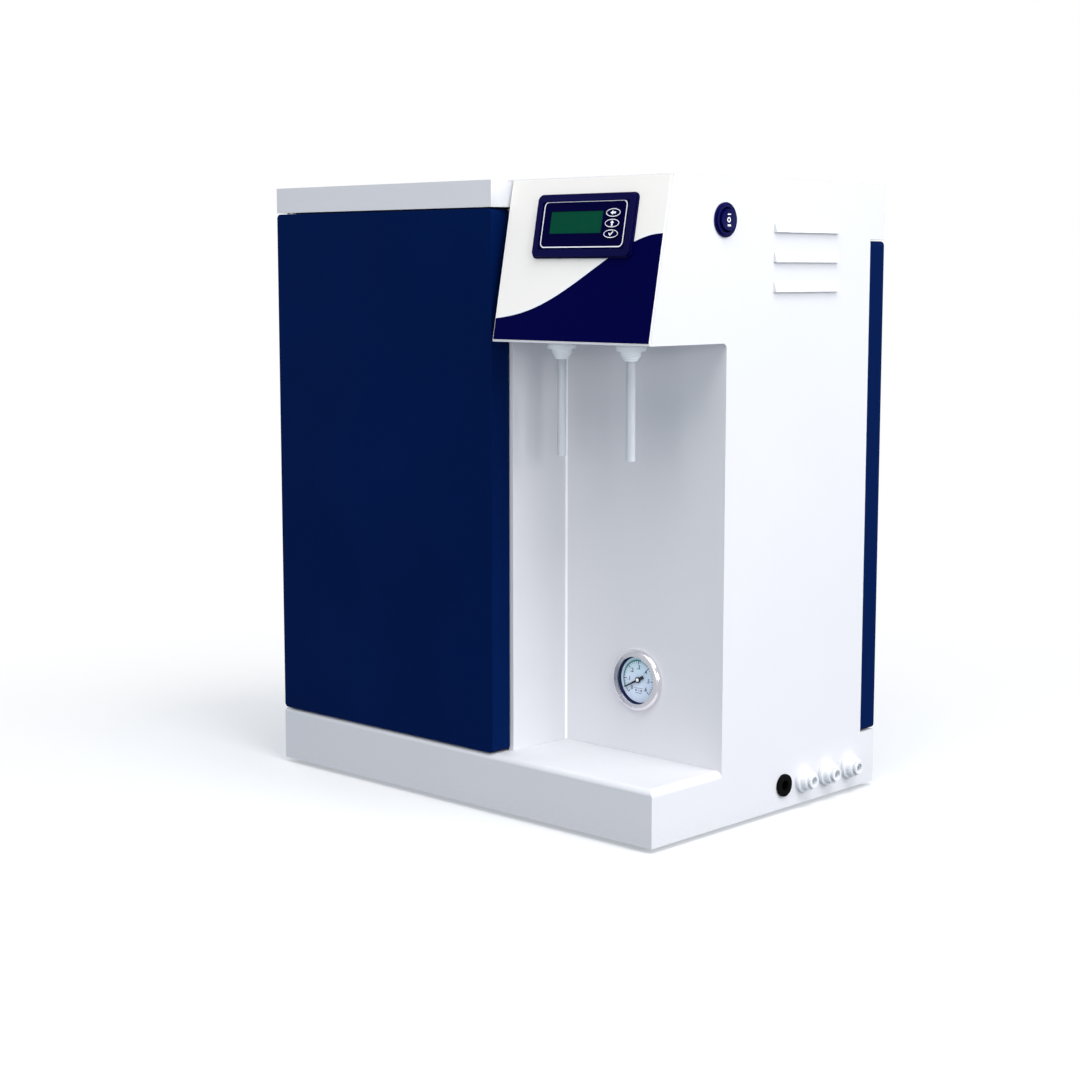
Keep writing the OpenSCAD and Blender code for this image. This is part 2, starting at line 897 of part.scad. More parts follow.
// The bay's left wall, which runs on up beside the head, and its back wall
module bay_liner() {
  color("gainsboro")
    difference() {
      union() {
        box(liner_x, liner_y, base_h, [sheet_t, wall_back - liner_y, body_h - sheet_t - base_h]);
        box(liner_x, bay_d, base_h, [body_w - sheet_t - liner_x, sheet_t, head_z + liner_lap - base_h]);
        box(liner_x - stop_w, liner_y, base_h, [stop_w + sheet_t, sheet_t, door_z + door_h - base_h]);
      }
      on_gauge()
        translate([0, 0, -cut_l / 2])
          cylinder(r = case_r + slip, h = cut_l);
    }
}

// The head's sloped front, its floor over the bay and its left side
module head_front() {
  top = body_h - sheet_t;
  lip = slope_out(head_z) + sheet_t / 2;
  inner_x = liner_x + sheet_t;
  color("white")
    difference() {
      union() {
        side_sheet(head_x, body_w - head_x)
          polygon([
            [slope_out(head_z), head_z], [slope_out(body_h), body_h],
            [slope_in(body_h), body_h], [slope_in(head_z), head_z]
          ]);
        at(0, 0, head_z)
          linear_extrude(sheet_t)
            polygon([
              [head_x, lip], [body_w - sheet_t, lip], [body_w - sheet_t, bay_d],
              [inner_x, bay_d], [inner_x, liner_y], [head_x, liner_y]
            ]);
        side_sheet(head_x, sheet_t)
          polygon([
            [lip, head_z], [slope_out(top) + sheet_t / 2, top],
            [liner_y + sheet_t, top], [liner_y + sheet_t, head_z]
          ]);
        box(inner_x, liner_y, head_z, [head_x + sheet_t - inner_x, sheet_t, top - head_z]);
      }
      meter_cutout();
      for (x = nozzle_x)
        at(x, nozzle_from_front, head_z - over)
          cylinder(r = thread_r + slip, h = sheet_t + 2 * over);
    }
}

module meter_cutout() {
  on_meter()
    translate([0, 0, -cut_l / 2])
      linear_extrude(cut_l)
        square([case_w + 2 * slip, case_h + 2 * slip], center = true);
}

module control_overlay() {
  x0 = head_x + overlay_margin;
  color("ivory")
    difference() {
      on_slope(x0, overlay_foot)
        cube([body_w - overlay_margin - x0, slope_l - overlay_foot - overlay_margin, overlay_t]);
      meter_cutout();
    }
}

// A moulded cover: a back of one wall with four sides, drawn flat with its outside on z = 0
module cover_shell(w, h) {
  difference() {
    linear_extrude(cover_t)
      round_rect(w, h, cover_r);
    translate([0, 0, cover_wall])
      linear_extrude(cover_t)
        round_rect(w - 2 * cover_wall, h - 2 * cover_wall, cover_inner_r);
  }
}

module rear_cover() {
  color("midnightblue")
    difference() {
      union() {
        at(body_w / 2, body_d, rear_z + rear_h / 2)
          rotate([90, 0, 0])
            cover_shell(body_w, rear_h);
        for_cover_screws()
          translate([0, 0, cover_wall / 2])
            cylinder(d = boss_d, h = cover_t - cover_wall / 2);
      }
      for_cover_screws()
        cover_screw_hole();
    }
}

module rear_cover_screws() {
  color("silver")
    for_cover_screws()
      union() {
        translate([0, 0, -screw_head_h])
          cylinder(d = 2 * cover_screw_d, h = screw_head_h);
        cylinder(d = cover_screw_d, h = cover_t + cut_l);
      }
}

// The front door, with holes for its hinge pins
module front_door() {
  color("navy")
    difference() {
      at(door_w / 2, 0, door_z + door_h / 2)
        rotate([-90, 0, 0])
          cover_shell(door_w, door_h);
      at(hinge_in, hinge_in, door_z - over)
        cylinder(r = hinge_pin_d / 2 + 2 * hinge_play, h = door_h + 2 * over);
    }
}

module hinge_bush(z) {
  x = cover_wall + cover_inner_r;
  difference() {
    box(x, cover_wall, z, [2 * (hinge_in - x), cover_t - 2 * cover_wall, bush_h]);
    at(hinge_in, hinge_in, z - over)
      cylinder(r = hinge_pin_d / 2 + hinge_play, h = bush_h + 2 * over);
  }
}

module hinge_bushes() {
  color("whitesmoke") {
    hinge_bush(door_z + cover_wall);
    hinge_bush(door_z + door_h - cover_wall - bush_h);
  }
}

// A pin with a head in the cabinet's sheet, and a collar that carries the door
module hinge_pin() {
  translate([0, 0, -sheet_t - pin_head_h])
    cylinder(d = pin_head_d, h = pin_head_h);
  translate([0, 0, -sheet_t - over])
    cylinder(d = hinge_pin_d, h = sheet_t + over + cover_gap + cover_wall + bush_h - over);
  cylinder(d = pin_head_d, h = cover_gap - hinge_play);
}

module hinge_pins() {
  color("silver") {
    at(hinge_in, hinge_in, base_h)
      hinge_pin();
    at(hinge_in, hinge_in, body_h - cap_h)
      mirror([0, 0, 1])
        hinge_pin();
  }
}

module door_strike() {
  x = door_w - cover_wall - 1 - catch_w;
  z = door_z + (door_h - catch_h) / 2;
  color("silver")
    box(x, cover_wall, z, [catch_w, cover_t - cover_wall - strike_back, catch_h]);
}

module magnet_catch() {
  x = door_w - cover_wall - 1 - catch_w;
  y = cover_t - strike_back + catch_gap;
  z = door_z + (door_h - catch_h) / 2;
  arm_y = left_edge + over;
  color("dimgray") {
    box(x, y, z, [catch_w, catch_d, catch_h]);
    box(x + catch_w / 2, arm_y, z, [liner_x - x - catch_w / 2, y + catch_d - arm_y, catch_h]);
  }
}

module chassis_plate() {
  color("gainsboro")
    difference() {
      union() {
        box(chassis_inset, chassis_from_front, base_h, [chassis_w, sheet_t, chassis_h]);
        box(chassis_inset, chassis_from_front - flange_w, base_h, [chassis_w, flange_w, sheet_t]);
      }
      at(manifold_out_x, chassis_from_front - cut_l / 2, manifold_mid)
        rotate([-90, 0, 0])
          cylinder(r = tube_hole_r, h = cut_l);
    }
}

// The digital meter
module meter_case() {
  color("navy")
    difference() {
      on_meter()
        union() {
          translate([0, 0, bezel_n])
            linear_extrude(bezel_low)
              round_rect(meter_w, meter_h, meter_r);
          translate([0, 0, bezel_n])
            linear_extrude(meter_t)
              round_rect(meter_w - 2 * bezel_step, meter_h - 2 * bezel_step, meter_r);
          translate([0, 0, -meter_depth])
            linear_extrude(meter_depth + bezel_n + over)
              square([case_w, case_h], center = true);
        }
      on_meter()
        translate([0, 0, face_n])
          linear_extrude(meter_t)
            square([pocket_w, pocket_h], center = true);
      for (i = [-1:1])
        on_key(i)
          translate([0, 0, key_z0 - key_travel - key_well])
            linear_extrude(meter_t)
              stadium(key_w + 2 * slip, key_h + 2 * slip);
    }
}

// A key's place: i is 1 for the top key and -1 for the lowest
module on_key(i) on_meter() translate([key_right, key_mid + i * key_pitch, 0]) children();

module meter_face() {
  color("darkblue")
    difference() {
      on_meter()
        translate([0, 0, face_n])
          linear_extrude(face_t)
            square([pocket_w - 2 * slip, pocket_h - 2 * slip], center = true);
      on_meter()
        translate([-lcd_left, lcd_up, face_n - over])
          linear_extrude(face_t + 2 * over)
            square([lcd_w + 2 * slip, lcd_h + 2 * slip], center = true);
      for (i = [-1:1])
        on_key(i)
          translate([0, 0, face_n - over])
            linear_extrude(face_t + 2 * over)
              stadium(key_w + 2 * slip, key_h + 2 * slip);
    }
}

module meter_display() {
  color("darkgreen")
    on_meter()
      translate([-lcd_left, lcd_up, face_n])
        linear_extrude(display_t)
          square([lcd_w, lcd_h], center = true);
}

module key(i) {
  color("slateblue")
    on_key(i)
      translate([0, 0, key_z0])
        linear_extrude(face_n + face_t + key_proud - key_z0)
          stadium(key_w, key_h);
}

module key_shift() key(1);
module key_up() key(0);
module key_confirm() key(-1);

// The rocker switch: +z out of the right side, x down
module on_switch() on_right(switch_from_front, body_h - switch_from_top) children();

module switch_body() {
  color("navy")
    on_switch()
      difference() {
        union() {
          cylinder(d = switch_d, h = switch_t / 2);
          cylinder(d = switch_d - switch_bevel, h = switch_t);
          translate([0, 0, -barrel_depth])
            cylinder(d = barrel_d, h = barrel_depth + over);
        }
        translate([0, 0, -rocker_room_d])
          cylinder(r = rocker_room_r, h = rocker_room_d + switch_t + over);
        translate([0, 0, -pivot_depth])
          rotate([90, 0, 0])
            cylinder(d = pivot_d + 2 * pivot_play, h = switch_d, center = true);
      }
}

module switch_rocker() {
  low = -pivot_depth - pivot_d / 2 - 1;
  dish_r = (rocker_d * rocker_d / 4 + rocker_dish * rocker_dish) / (2 * rocker_dish);
  color("darkblue")
    on_switch() {
      difference() {
        translate([0, 0, low])
          cylinder(d = rocker_d, h = rocker_proud + 1 - low);
        translate([0, 0, rocker_proud - rocker_dish + dish_r])
          rotate([90, 0, 0])
            cylinder(r = dish_r, h = 2 * rocker_d, center = true);
      }
      translate([0, 0, -pivot_depth])
        rotate([90, 0, 0])
          cylinder(d = pivot_d, h = pivot_l, center = true);
    }
}

// The pressure gauge: +z out of the bay's back wall, y up
module gauge_case() {
  color("silver")
    on_gauge()
      difference() {
        translate([0, 0, -gauge_depth])
          cylinder(r = case_r, h = gauge_depth + dial_n + case_rim);
        translate([0, 0, dial_n])
          cylinder(r = case_r - gauge_wall, h = gauge_depth);
        translate([0, 0, dial_n - spindle_l - over])
          cylinder(d = spindle_d + 2 * spindle_play, h = gauge_depth);
      }
}

module gauge_bezel() {
  color("silver")
    on_gauge()
      difference() {
        union() {
          cylinder(r = bezel_r, h = gauge_t - bezel_round);
          translate([0, 0, gauge_t - bezel_round])
            rotate_extrude()
              intersection() {
                translate([bezel_r - bezel_round, 0])
                  circle(bezel_round);
                square([bezel_r, bezel_round]);
              }
          cylinder(r = bezel_r - bezel_round, h = gauge_t);
        }
        translate([0, 0, -over])
          cylinder(r = case_r + slip / 2, h = gauge_t - bezel_lip + over);
        cylinder(r = sight_r, h = gauge_t + over);
      }
}

module gauge_dial() {
  color("aliceblue")
    on_gauge()
      translate([0, 0, dial_n])
        difference() {
          cylinder(r = case_r - gauge_wall - slip, h = dial_t);
          translate([0, 0, -over])
            cylinder(d = spindle_d + 2 * spindle_play, h = dial_t + 2 * over);
        }
}

// The pointer lies at its resting angle: the dial's zero is at 225 degrees and it turns clockwise
module gauge_pointer() {
  color("black")
    on_gauge()
      rotate([0, 0, 225 - pointer_turn]) {
        translate([0, 0, pointer_n])
          linear_extrude(pointer_t)
            polygon([
              [-pointer_tail, -pointer_root_w - over / 2], [-pointer_tail, pointer_root_w + over / 2],
              [0, pointer_root_w], [pointer_l, pointer_tip_w], [pointer_l, -pointer_tip_w],
              [0, -pointer_root_w]
            ]);
        translate([0, 0, pointer_n - hub_lap])
          cylinder(d = hub_d, h = pointer_t + 2 * hub_lap);
        translate([0, 0, dial_n - spindle_l])
          cylinder(d = spindle_d, h = pointer_n - dial_n + spindle_l + pointer_t / 2);
      }
}

module gauge_glass() {
  color("lightblue", 0.4)
    on_gauge()
      translate([0, 0, glass_n])
        cylinder(r = case_r, h = glass_t);
}

module gauge_stem() {
  color("goldenrod")
    on_gauge()
      translate([0, 0, -gauge_depth])
        mirror([0, 0, 1])
          difference() {
            union() {
              cylinder(d = stem_hex_d, h = stem_hex_h, $fn = 6);
              cylinder(d = stem_d, h = stem_l);
            }
            translate([0, 0, stem_l - socket_l])
              cylinder(r = socket_r, h = socket_l + over);
          }
}

// The nozzles' fittings through the head's floor
module nozzle_fitting(x) {
  flange_r = nozzle_flange_d / 2;
  step_r = nozzle_step_d / 2;
  step_z = head_z - nozzle_flange_h;
  at(x, nozzle_from_front, 0)
    difference() {
      rotate_extrude()
        polygon([
          [0, cone_z], [spout_d / 2 + tip_wall, cone_z], [step_r, cone_z + nozzle_cone_h],
          [step_r, step_z], [flange_r, step_z], [flange_r, head_z], [thread_r, head_z],
          [thread_r, head_z + thread_h], [0, head_z + thread_h]
        ]);
      translate([0, 0, cone_z - over])
        cylinder(d = spout_d - spout_root_step + slip, h = head_z - cone_z);
      translate([0, 0, cone_z])
        cylinder(d = spout_bore, h = 2 * thread_h + head_z - cone_z);
      translate([0, 0, head_z + thread_h - socket_l])
        cylinder(r = socket_r, h = socket_l + over);
    }
}

module nozzle_fittings() {
  color("whitesmoke")
    for (x = nozzle_x)
      nozzle_fitting(x);
}

// A spout: i is 0 for the left one and 1 for the right one
module spout(i) {
  color("whitesmoke")
    at(nozzle_x[i], nozzle_from_front, spout_end)
      difference() {
        union() {
          cylinder(d = spout_d, h = cone_z - spout_end);
          cylinder(d = spout_d - spout_root_step, h = head_z - over - slip - spout_end);
        }
        translate([0, 0, -over])
          cylinder(d = spout_bore, h = head_z - spout_end + over);
      }
}

module spout_left() spout(0);
module spout_right() spout(1);

// Lock nuts of the nozzles and ports, and the lock ring of the gauge
module bulkhead_nuts() {
  color("whitesmoke") {
    for (x = nozzle_x)
      at(x, nozzle_from_front, head_z + sheet_t)
        hex_nut(nut_flats, thread_r + slip / 2, nut_h);
    for (y = port_y)
      on_right(y, port_up)
        translate([0, 0, -sheet_t - port_nut_h])
          hex_nut(port_nut_flats, port_thread_r + slip / 2, port_nut_h);
    on_gauge()
      translate([0, 0, -sheet_t - lock_ring_h])
        difference() {
          cylinder(r = case_r + lock_ring_w, h = lock_ring_h);
          translate([0, 0, -over])
            cylinder(r = case_r + slip / 2, h = lock_ring_h + 2 * over);
        }
  }
}

// A push-in port through the base's right side
module port(y) {
  color("whitesmoke")
    on_right(y, port_up)
      difference() {
        union() {
          cylinder(d = port_flange_d, h = port_flange_t);
          cylinder(d = port_barrel_d, h = port_barrel_l);
          translate([0, 0, -port_inner_l])
            cylinder(r = port_thread_r, h = port_inner_l + over);
        }
        translate([0, 0, port_barrel_l - collet_l - collet_travel - over])
          cylinder(r = collet_d / 2 + collet_play, h = collet_l + collet_travel + 2 * over);
        translate([0, 0, -port_inner_l - over])
          cylinder(r = port_stop_r, h = port_inner_l + port_barrel_l);
        translate([0, 0, -port_inner_l - over])
          cylinder(r = socket_r, h = socket_l + over);
      }
}

module feed_port() port(port_y[0]);
module drain_port() port(port_y[1]);
module tank_port() port(port_y[2]);

module collet(y) {
  head_z0 = port_barrel_l + collet_travel + slip;
  color("lightgray")
    on_right(y, port_up)
      difference() {
        union() {
          translate([0, 0, head_z0])
            cylinder(d = collet_head_d, h = collet_head_t);
          translate([0, 0, port_barrel_l - collet_l])
            cylinder(d = collet_d, h = collet_l + collet_travel + slip + collet_head_t / 2);
        }
        translate([0, 0, port_barrel_l - collet_l - over])
          cylinder(d = collet_bore, h = port_out + collet_l);
      }
}

module feed_collet() collet(port_y[0]);
module drain_collet() collet(port_y[1]);
module tank_collet() collet(port_y[2]);

module cord_grommet() {
  color("black")
    on_right(grommet_y, port_up)
      difference() {
        union() {
          cylinder(d = grommet_d, h = grommet_lip);
          translate([0, 0, -sheet_t - grommet_lip])
            cylinder(d = grommet_d, h = grommet_lip);
          translate([0, 0, -sheet_t - over])
            cylinder(r = grommet_neck_r, h = sheet_t + 2 * over);
        }
        translate([0, 0, -sheet_t - grommet_lip - over])
          cylinder(d = grommet_bore, h = sheet_t + 2 * (grommet_lip + over));
      }
}

// Filters behind the door
module filter_manifold() {
  bar_y = filter_from_front - filter_head_r;
  color("whitesmoke")
    difference() {
      union() {
        box(filter_mid - bar_w / 2, bar_y, manifold_up, [bar_w, chassis_from_front - bar_y, manifold_h]);
        for (x = filter_x)
          at(x, filter_from_front, manifold_up - filter_neck_h + filter_lap)
            cylinder(r = filter_head_r, h = filter_neck_h);
      }
      for (x = filter_x)
        at(x, filter_from_front, manifold_up - filter_neck_h)
          cylinder(r = filter_neck_d / 2 + filter_seat, h = filter_neck_h + filter_lap + filter_seat);
      at(manifold_right, valve_y, manifold_mid)
        rotate([0, -90, 0])
          cylinder(r = socket_r, h = socket_l);
      at(manifold_out_x, chassis_from_front, manifold_mid)
        rotate([90, 0, 0])
          cylinder(r = socket_r, h = socket_l);
    }
}

module cartridge(i, tint) {
  r = filter_d / 2;
  neck_r = filter_neck_d / 2;
  top = manifold_up - filter_neck_h + filter_lap - filter_seat;
  low = top - filter_l;
  color(tint)
    at(filter_x[i], filter_from_front, 0)
      rotate_extrude()
        polygon([
          [0, low], [r - filter_round, low], [r, low + filter_round], [r, top - filter_round],
          [r - filter_shoulder, top], [neck_r, top], [neck_r, manifold_up + filter_lap],
          [0, manifold_up + filter_lap]
        ]);
}

module sediment_filter() cartridge(0, "white");
module carbon_filter() cartridge(1, "lightsteelblue");
module softener_filter() cartridge(2, "lavender");

// Columns behind the chassis plate
module membrane_vessel() {
  r = vessel_d / 2;
  color("whitesmoke")
    at(vessel_x, vessel_y, base_h)
      difference() {
        cylinder(r = r, h = vessel_h);
        translate([0, 0, 2 * vessel_wall])
          cylinder(r = r - vessel_wall, h = vessel_h);
      }
}

module membrane_element() {
  r = vessel_d / 2 - vessel_wall - element_gap;
  color("lightgray")
    at(vessel_x, vessel_y, base_h + 2 * vessel_wall)
      cylinder(r = r, h = vessel_h - 2 * vessel_wall - cap_lap);
}

module membrane_cap() {
  r = vessel_d / 2;
  top = vessel_top + cap_lap;
  color("whitesmoke")
    difference() {
      union() {
        at(vessel_x, vessel_y, top - vessel_cap_h)
          cylinder(r = r + cap_wall, h = vessel_cap_h);
        for (x = vessel_ports)
          at(x, column_y, top - over)
            cylinder(r = stub_r, h = valve_stub + over);
      }
      at(vessel_x, vessel_y, top - vessel_cap_h - over)
        cylinder(r = r + slip, h = vessel_cap_h - cap_lap + over);
      for (x = vessel_ports)
        at(x, column_y, top)
          cylinder(r = socket_r, h = valve_stub + over);
    }
}

module deioniser(x, ports) {
  r = column_d / 2;
  waist = r - column_rim;
  color("lightsteelblue")
    difference() {
      union() {
        at(x, column_y, base_h)
          rotate_extrude()
            polygon([
              [0, 0], [r, 0], [r, column_rim_h], [waist, column_rim_h], [waist, column_h - column_rim_h],
              [r, column_h - column_rim_h], [r, column_h], [0, column_h]
            ]);
        for (port_x = ports)
          at(port_x, column_y, column_top - over)
            cylinder(r = stub_r, h = valve_stub + over);
      }
      for (port_x = ports)
        at(port_x, column_y, column_top)
          cylinder(r = socket_r, h = valve_stub + over);
    }
}

module deioniser_left() deioniser(column_x1, left_ports);
module deioniser_right() deioniser(column_x2, right_ports);

// A spring clip from the chassis plate around a column, open behind
module column_clip(x, y, r, z) {
  at(x, y, z)
    difference() {
      union() {
        cylinder(r = r + clip_t, h = clip_h);
        translate([-r / 2, chassis_back - y, 0])
          cube([r, y - chassis_back, clip_h]);
      }
      translate([0, 0, -over])
        cylinder(r = r, h = clip_h + 2 * over);
      translate([-r - clip_t, r * clip_open, -over])
        cube([2 * (r + clip_t), r + clip_t, clip_h + 2 * over]);
    }
}

module column_clips() {
  column_r = column_d / 2 - column_rim;
  color("whitesmoke")
    for (z = clip_z) {
      column_clip(vessel_x, vessel_y, vessel_d / 2 + slip, z);
      column_clip(column_x1, column_y, column_r + slip, z);
      column_clip(column_x2, column_y, column_r + slip, z);
    }
}

// The booster pump lies across the cabinet behind the bay
module pump_motor() {
  color("dimgray")
    at(pump_x + pump_l, pump_y, pump_axis)
      rotate([0, 90, 0]) {
        cylinder(d = motor_d, h = motor_l - motor_cap_l);
        cylinder(d = motor_d - motor_cap_step, h = motor_l);
      }
}

module for_pump_ports() {
  at(pump_port_x, pump_y - pump_side / 2, gauge_up)
    rotate([90, 0, 0])
      children();
  for (y = [pump_in_y, pump_out_y])
    at(pump_port_x, y, pump_top)
      children();
}

module pump_head() {
  half = pump_side / 2;
  color("black")
    difference() {
      union() {
        box(pump_x, pump_y - half, pump_axis - half, [pump_l, pump_side, pump_side]);
        for_pump_ports()
          cylinder(r = stub_r, h = valve_stub);
      }
      for_pump_ports()
        cylinder(r = socket_r, h = valve_stub + over);
    }
}

module pump_mount() {
  half = pump_side / 2;
  saddle_x = pump_x + pump_l + (motor_l - saddle_l) / 2;
  saddle_h = pump_axis - base_h - saddle_reach * motor_d / 2;
  block_h = pump_axis - half - base_h;
  color("gray")
    difference() {
      union() {
        box(pump_x, pump_y - half, base_h, [pump_l + motor_l - saddle_l, pump_side, mount_t]);
        box(pump_x + mount_inset, pump_y - half + mount_inset, base_h,
          [pump_l - 2 * mount_inset, pump_side - 2 * mount_inset, block_h]);
        box(saddle_x, pump_y - saddle_w / 2, base_h, [saddle_l, saddle_w, saddle_h]);
      }
      at(pump_x + pump_l, pump_y, pump_axis)
        rotate([0, 90, 0])
          cylinder(d = motor_d + slip, h = motor_l);
    }
}

// Solenoid valves on the back of the bay's wall: the inlet valve and one for each nozzle
module solenoid_valve(x, z) {
  difference() {
    union() {
      box(x - valve_w / 2, wall_back, z, [valve_w, valve_d, valve_h]);
      at(x, wall_back + valve_d - over, z + valve_h / 2)
        rotate([-90, 0, 0])
          cylinder(d = min(coil_d, valve_h), h = coil_l);
      at(x, valve_y, z - valve_stub)
        cylinder(r = stub_r, h = valve_h + 2 * valve_stub);
    }
    at(x, valve_y, z - valve_stub - over)
      cylinder(r = socket_r, h = valve_stub + over);
    at(x, valve_y, z + valve_h)
      cylinder(r = socket_r, h = valve_stub + over);
  }
}

module solenoid_valves() {
  color("slategray") {
    solenoid_valve(nozzle_x[0], inlet_valve_up);
    for (x = nozzle_x)
      solenoid_valve(x, dispense_valve_up);
  }
}

module power_supply() {
  x = body_w - sheet_t - supply_t;
  color("silver")
    difference() {
      box(x, supply_from_front, supply_up, [supply_t, supply_d, supply_h]);
      box(x - over, supply_from_front + terminal_side, supply_up - over,
        [supply_t - terminal_d, supply_d - 2 * terminal_side, terminal_h]);
    }
}

// The control board on its standoffs, with its relays and terminals
module control_board() {
  y = chassis_back + standoff_h;
  color("darkgreen") {
    box(board_x, y, board_z, [board_w, board_t, board_h]);
    for (x = [board_hole, board_w - board_hole], z = [board_hole, board_h - board_hole])
      at(board_x + x, chassis_back, board_z + z)
        rotate([-90, 0, 0])
          cylinder(d = standoff_d, h = standoff_h + board_t / 2);
    for (i = [0:relay_count - 1])
      box(board_x + relay.x + i * relay_pitch, y + board_t / 2, board_z + relay_up, relay);
    box(board_x + relay.x, y + board_t / 2, board_z + strip_up, strip);
  }
}

// Water tubes, each along its run from socket to socket
module water_tubes() {
  port_x = body_w - port_inner_l + tube_in;
  inlet_low = inlet_valve_up - valve_stub + tube_in;
  inlet_top = inlet_valve_up + valve_h + valve_stub - tube_in;
  valve_low = dispense_valve_up - valve_stub + tube_in;
  valve_top = dispense_valve_up + valve_h + valve_stub - tube_in;
  pump_z = pump_top + valve_stub - tube_in;
  vessel_z = vessel_top + cap_lap + valve_stub - tube_in;
  column_z = column_top + valve_stub - tube_in;
  gauge_y = bay_d + gauge_depth + stem_l - tube_in;
  gauge_end_y = pump_y - pump_side / 2 - valve_stub + tube_in;
  gauge_turn = (gauge_y + gauge_end_y) / 2;
  feed_z = inlet_valve_up - feed_drop;
  raw_z = inlet_top + raw_rise;
  raw_x = manifold_right + raw_step;
  link_z = column_top + link_rise;
  drain_z = link_z + drain_rise;
  pump_run_z = drain_z + pump_run_rise;
  product_z = dispense_valve_up - product_drop;
  product_x = nozzle_x[0] - 2 * bend_r - product_step;
  tank_z = supply_up - tank_drop;
  spout_z = head_z + thread_h - tube_in;
  over_z = head_z + thread_h + spout_rise;
  color("lightblue") {
    pipe([
      [port_x, port_y[0], port_up], [riser_x, port_y[0], port_up], [riser_x, port_y[0], feed_z],
      [riser_x, valve_y, feed_z], [nozzle_x[0], valve_y, feed_z], [nozzle_x[0], valve_y, inlet_low]
    ]);
    pipe([
      [nozzle_x[0], valve_y, inlet_top], [nozzle_x[0], valve_y, raw_z], [raw_x, valve_y, raw_z],
      [raw_x, valve_y, manifold_mid], [manifold_right - tube_in, valve_y, manifold_mid]
    ]);
    pipe([
      [manifold_out_x, chassis_from_front - tube_in, manifold_mid], [manifold_out_x, pump_in_y, manifold_mid],
      [pump_port_x, pump_in_y, manifold_mid], [pump_port_x, pump_in_y, pump_z]
    ]);
    pipe([
      [pump_port_x, pump_out_y, pump_z], [pump_port_x, pump_out_y, pump_run_z],
      [vessel_ports[0], pump_out_y, pump_run_z], [vessel_ports[0], column_y, pump_run_z],
      [vessel_ports[0], column_y, vessel_z]
    ]);
    pipe([
      [port_x, port_y[1], port_up], [riser_x, port_y[1], port_up], [riser_x, port_y[1], drain_z],
      [vessel_ports[1], port_y[1], drain_z], [vessel_ports[1], column_y, drain_z],
      [vessel_ports[1], column_y, vessel_z]
    ]);
    pipe([
      [vessel_ports[2], column_y, vessel_z], [vessel_ports[2], column_y, link_z],
      [left_ports[0], column_y, link_z], [left_ports[0], column_y, column_z]
    ]);
    pipe([
      [left_ports[1], column_y, column_z], [left_ports[1], column_y, link_z],
      [right_ports[0], column_y, link_z], [right_ports[0], column_y, column_z]
    ]);
    pipe([
      [right_ports[1], column_y, column_z], [right_ports[1], column_y, link_z], [product_x, column_y, link_z],
      [product_x, column_y, product_z], [product_x, valve_y, product_z], [nozzle_x[0], valve_y, product_z],
      [nozzle_x[0], valve_y, valve_low]
    ]);
    pipe([
      [port_x, port_y[2], port_up], [riser_x, port_y[2], port_up], [riser_x, port_y[2], tank_z],
      [nozzle_x[1], port_y[2], tank_z], [nozzle_x[1], valve_y, tank_z],
      [nozzle_x[1], valve_y, valve_low]
    ]);
    pipe([
      [gauge_x, gauge_y, gauge_up], [gauge_x, gauge_turn, gauge_up], [pump_port_x, gauge_turn, gauge_up],
      [pump_port_x, gauge_end_y, gauge_up]
    ]);
    for (x = nozzle_x)
      pipe([
        [x, valve_y, valve_top], [x, valve_y, over_z],
        [x, nozzle_from_front, over_z], [x, nozzle_from_front, spout_z]
      ]);
  }
}

base_tray();
port_panel();
bottom_plate();
rubber_feet();
right_side_panel();
left_side_panel();
top_cover();
bay_liner();
head_front();
control_overlay();
chassis_plate();
rear_cover();
rear_cover_screws();
front_door();
hinge_bushes();
hinge_pins();
door_strike();
magnet_catch();
meter_case();
meter_face();
meter_display();
key_shift();
key_up();
key_confirm();
switch_body();
switch_rocker();
gauge_case();
gauge_bezel();
gauge_dial();
gauge_pointer();
gauge_glass();
gauge_stem();
nozzle_fittings();
spout_left();
spout_right();
bulkhead_nuts();
feed_port();
drain_port();
tank_port();
feed_collet();
drain_collet();
tank_collet();
cord_grommet();
filter_manifold();
sediment_filter();
carbon_filter();
softener_filter();
membrane_vessel();
membrane_element();
membrane_cap();
deioniser_left();
deioniser_right();
column_clips();
pump_motor();
pump_head();
pump_mount();
solenoid_valves();
power_supply();
control_board();
water_tubes();
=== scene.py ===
"""Looks for the bench water purifier: materials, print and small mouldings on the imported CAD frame."""
import math

import bmesh
import bpy
from mathutils import Matrix, Vector
from mathutils.geometry import tessellate_polygon


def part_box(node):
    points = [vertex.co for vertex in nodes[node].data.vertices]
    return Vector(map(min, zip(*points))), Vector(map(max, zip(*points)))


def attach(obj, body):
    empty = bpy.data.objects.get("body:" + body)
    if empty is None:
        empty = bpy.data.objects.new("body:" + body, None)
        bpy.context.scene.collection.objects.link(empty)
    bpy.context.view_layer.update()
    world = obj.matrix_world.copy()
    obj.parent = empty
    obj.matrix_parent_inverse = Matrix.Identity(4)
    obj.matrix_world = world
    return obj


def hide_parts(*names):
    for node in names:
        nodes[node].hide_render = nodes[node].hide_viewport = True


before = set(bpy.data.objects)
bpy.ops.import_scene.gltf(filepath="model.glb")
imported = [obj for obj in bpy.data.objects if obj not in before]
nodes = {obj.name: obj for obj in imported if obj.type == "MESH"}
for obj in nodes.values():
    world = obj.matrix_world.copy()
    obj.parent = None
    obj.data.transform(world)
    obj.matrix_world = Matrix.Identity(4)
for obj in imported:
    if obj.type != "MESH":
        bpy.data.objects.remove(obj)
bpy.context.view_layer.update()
scene = bpy.context.scene

# Cabinet frame in millimetres: from the left side, the front and the base's underside
CORNER = (-209.65, -137.0, 4.0)
BODY_W, BODY_H, BASE_H = 411.0, 480.0, 43.0
DOOR_W, CAP_H = 250.0, 20.0
